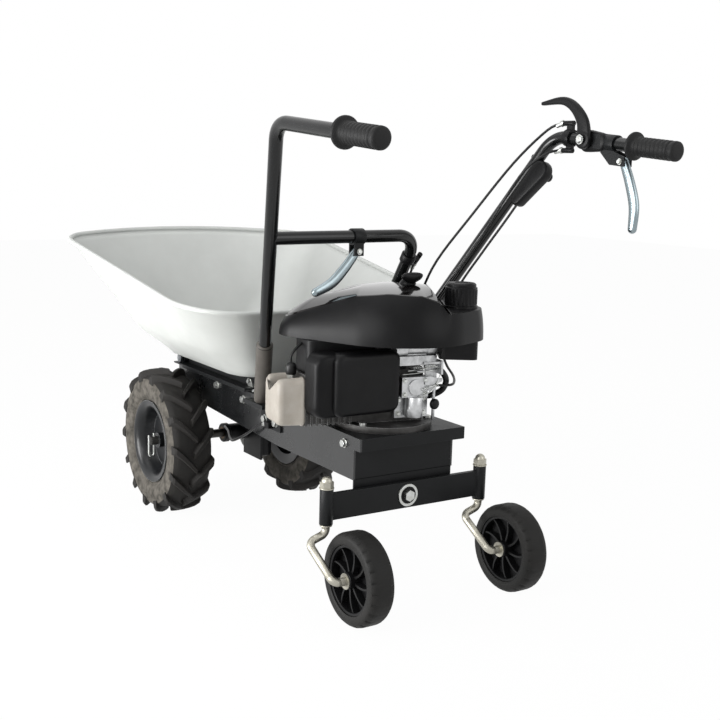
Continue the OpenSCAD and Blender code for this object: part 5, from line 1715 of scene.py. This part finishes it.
@dataclass
class GearCase:
    """The cast case on the axle: drum, axle sleeve and the worm's upright housing."""

    axle_z: float = 167
    gear_y: float = -50
    half: float = 19
    drum_r: float = 49.5
    sleeve_r: float = 22.5
    seat_r: float = 15.05
    far_y: float = -81
    near_y: float = 33
    worm_x: float = -48.6
    worm_bore: float = 7.6
    house_r: float = 21.3
    house_low: float = 115
    house_high: float = 235
    screw_ring: float = 43
    screws: int = 6

    def build(self) -> None:
        """Builds the grey drum with its screws, the black sleeve and the black housing."""
        axle = axis_frame((0, 0, self.axle_z), (0, 1, 0))
        low, high, r = self.gear_y - self.half, self.gear_y + self.half, self.drum_r
        drum = Form()
        drum.revolve([
            (self.sleeve_r, low), (r - 9, low), (r - 3, low + 2), (r, low + 6), (r, self.gear_y - 4),
            (r - 2, self.gear_y - 3), (r - 2, self.gear_y + 3), (r, self.gear_y + 4), (r, high - 6),
            (r - 3, high - 2), (r - 9, high), (self.sleeve_r, high),
        ], axle, 72)
        drum.piece("gear_drum", CASE_PAINT, "chassis", ["gear_case"], sharp=40)
        s, far, near = self.sleeve_r, self.far_y, self.near_y
        sleeve = Form()
        sleeve.revolve([
            (self.seat_r, far), (s - 2, far), (s, far + 2), (s, high + 6), (s - 3, high + 9),
            (s - 3, near - 15), (s, near - 13), (s, near - 1.5), (s - 1.5, near), (self.seat_r, near),
        ], axle, 56)
        sleeve.piece("axle_sleeve", PLATE_COAT, "chassis", sharp=40)
        h, foot, top = self.house_r, self.house_low, self.house_high
        house = Form()
        house.revolve([
            (self.worm_bore, foot), (h - 5, foot), (h - 1, foot + 3), (h, foot + 7), (h, top - 9),
            (h - 2, top - 3), (h - 6, top), (self.worm_bore, top),
        ], Matrix.Translation((self.worm_x, self.gear_y, 0)), 48)
        house.piece("worm_housing", PLATE_COAT, "chassis", sharp=40)
        screws = Form()
        for k in range(self.screws):
            a = math.tau * k / self.screws
            spot = (self.screw_ring * math.sin(a), high - 1, self.axle_z + self.screw_ring * math.cos(a))
            screws.screw(Matrix.Identity(4), spot, (0, 1, 0), 3.4)
        screws.piece("case_screws", BOLT_ZINC, "chassis", sharp=30)


@dataclass
class Dressing:
    """Finishes for the solids that stay as they are."""

    nodes: dict[str, bpy.types.Object]

    def table(self) -> dict[Finish, dict[str, float]]:
        """Lists the solids of each finish.

        Returns:
            For each finish, its solids with the width of the round on their edges.
        """
        return {
            PLATE_COAT: {
                "rear_plate": 0.9, "engine_deck": 0, "front_crossmember": 0.9, "tub_rest": 0.9,
                "gearbox_hanger": 0.9, "caster_beam": 0.8, "tub_cradle": 0.9, "lever_brackets": 0.5,
                "handle_brackets": 0.9,
            },
            SIDE_COAT: {"left_side_plate": 0, "right_side_plate": 0},
            TUBE_COAT: {"left_handlebar": 0, "right_handlebar": 0, "cross_tube": 0},
            BOLT_ZINC: {
                "chassis_bolts": 0.3, "beam_bushes": 0.4, "beam_bolt": 0.5, "wheel_pins": 0, "tub_latch": 0.5,
            },
            ROD_ZINC: {"left_caster_rod": 0.3, "right_caster_rod": 0.3},
            SHAFT: {"crankshaft": 0.4, "worm_shaft": 0, "hinge_pin": 0.5, "tensioner": 0.5},
            AXLE_OIL: {"axle_shaft": 0.5},
            BRONZE: {"axle_bushes": 0.4, "worm_wheel": 0},
            BLOCK_CAST: {"engine_block": 0.8},
            ALLOY: {"carburettor": 0.9, "flywheel": 0.5},
            HOT_SHEET: {"muffler": 1.2},
            BOX_PLASTIC: {"throttle_lever": 1.0, "fuel_tank": 1.2, "cable_clamps": 0.4},
            REEL_PLASTIC: {"starter_reel": 0.4},
            BELT: {"v_belt": 0},
        }

    def build(self) -> None:
        """Gives each solid its finish and rounds its edges."""
        for finish, solids in self.table().items():
            for name, width in solids.items():
                node = self.nodes[name]
                node.data.materials.clear()
                node.data.materials.append(material_of(finish))
                if width:
                    weld = node.modifiers.new("weld", "WELD")
                    weld.merge_threshold = 0.005 * MM
                    round_edges(node, width, 38)
                LOG.info("solid %s in %s", name, finish.name)


@dataclass
class Studio:
    """Camera, floor, light and background."""

    focal: float = 55.78
    sensor: float = 36.0
    eye: tuple[float, float, float] = (-2355.8, 1184.4, 804.9)
    yaw: float = 33.17
    pitch: float = 9.85
    roll: float = 1.65
    floor_white: float = 0.97

    def camera(self) -> None:
        """Sets the camera at the photograph's angle."""
        yaw, pitch = math.radians(self.yaw), math.radians(self.pitch)
        look = Vector((math.cos(pitch) * math.cos(yaw), -math.cos(pitch) * math.sin(yaw), -math.sin(pitch)))
        right = look.cross(Vector((0, 0, 1))).normalized()
        up = right.cross(look)
        turn = Matrix.Rotation(math.radians(-self.roll), 3, look)
        right, up = turn @ right, turn @ up
        data = bpy.data.cameras.new("camera")
        data.lens = self.focal
        data.sensor_width = self.sensor
        data.sensor_fit = "HORIZONTAL"
        camera = stand("camera", data)
        pose = Matrix((right, up, -look)).transposed().to_4x4()
        pose.translation = place(self.eye)
        camera.matrix_world = pose
        bpy.context.scene.camera = camera

    def lamp(self, name: str, spot: Point, size: float, power: float) -> None:
        """Hangs one soft square lamp that looks at the barrow.

        Args:
            name: The lamp's name.
            spot: Its place in metres, in the part's frame.
            size: The length of its side in metres.
            power: Its power in watts.
        """
        data = bpy.data.lights.new(name, "AREA")
        data.shape = "SQUARE"
        data.size = size
        data.energy = power
        lamp = stand(name, data)
        lamp.location = spot
        aim = Vector((0.0, 0.0, 0.4)) - Vector(spot)
        lamp.rotation_euler = aim.to_track_quat("-Z", "Y").to_euler()

    def white_to_eye(self, tree: bpy.types.NodeTree) -> bpy.types.NodeSocket:
        """Tells rays that show the background to the eye from rays that light the barrow.

        Args:
            tree: The node tree.

        Returns:
            The socket that gives 1 for rays from the eye, a mirror or glass, and 0 for the rest.
        """
        path = add_node(tree, "ShaderNodeLightPath").outputs
        first = add_node(tree, "ShaderNodeMath", {"operation": "MAXIMUM"}, None,
                         {0: path["Is Camera Ray"], 1: path["Is Glossy Ray"]})
        both = add_node(tree, "ShaderNodeMath", {"operation": "MAXIMUM"}, None,
                        {0: first.outputs[0], 1: path["Is Transmission Ray"]})
        return both.outputs[0]

    def world(self) -> None:
        """Sets a white background and a soft even sky light."""
        world = bpy.data.worlds.new("studio")
        bpy.context.scene.world = world
        tree = empty_tree(world)
        soft = {"Color": linear_colour("#f4f6f8"), "Strength": 0.42}
        sky = add_node(tree, "ShaderNodeBackground", None, soft)
        full = {"Color": linear_colour("#ffffff"), "Strength": 1.0}
        white = add_node(tree, "ShaderNodeBackground", None, full)
        mix = add_node(tree, "ShaderNodeMixShader", None, None,
                       {0: self.white_to_eye(tree), 1: sky.outputs[0], 2: white.outputs[0]})
        add_node(tree, "ShaderNodeOutputWorld", None, None, {"Surface": mix.outputs[0]})

    def floor(self) -> None:
        """Lays the pale floor, which keeps a faint shadow."""
        form = bmesh.new()
        half = 9.0
        corners = ((-half, -half), (half, -half), (half, half), (-half, half))
        form.faces.new([form.verts.new((x, y, 0.0)) for x, y in corners])
        mesh = bpy.data.meshes.new("floor")
        form.to_mesh(mesh)
        form.free()
        material = bpy.data.materials.new("pale_floor")
        tree = empty_tree(material)
        matt = add_node(tree, "ShaderNodeBsdfDiffuse", None, {"Color": linear_colour("#f2f2f0")})
        full = {"Color": linear_colour("#ffffff"), "Strength": 1.0}
        white = add_node(tree, "ShaderNodeEmission", None, full)
        share = add_node(tree, "ShaderNodeMath", {"operation": "MULTIPLY"}, {1: self.floor_white},
                         {0: self.white_to_eye(tree)})
        mix = add_node(tree, "ShaderNodeMixShader", None, None,
                       {0: share.outputs[0], 1: matt.outputs[0], 2: white.outputs[0]})
        add_node(tree, "ShaderNodeOutputMaterial", None, None, {"Surface": mix.outputs[0]})
        mesh.materials.append(material)
        stand("floor", mesh)

    def build(self) -> None:
        """Sets the camera, the background, the floor and the lamps."""
        bpy.context.scene.view_settings.view_transform = "Standard"
        self.camera()
        self.world()
        self.floor()
        self.lamp("key", (-0.9, 2.9, 1.5), 2.2, 62)
        self.lamp("fill", (-3.0, -1.4, 1.6), 2.0, 22)
        self.lamp("top", (0.2, 0.4, 3.2), 3.0, 34)
        self.lamp("low", (0.5, 2.4, 0.3), 1.4, 95)


def main() -> None:
    """Builds the studio and each sub-assembly."""
    logging.basicConfig(level=logging.INFO, format="%(message)s")
    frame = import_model()
    Studio().build()
    Controls().build()
    Tub().build()
    for side in Side:
        FrontWheel(side).build()
        CasterWheel(side).build()
    Cowl().build()
    Engine().build()
    GearCase().build()
    RearEnd().build()
    Dressing(frame["nodes"]).build()


if __name__ == "__main__":
    main()
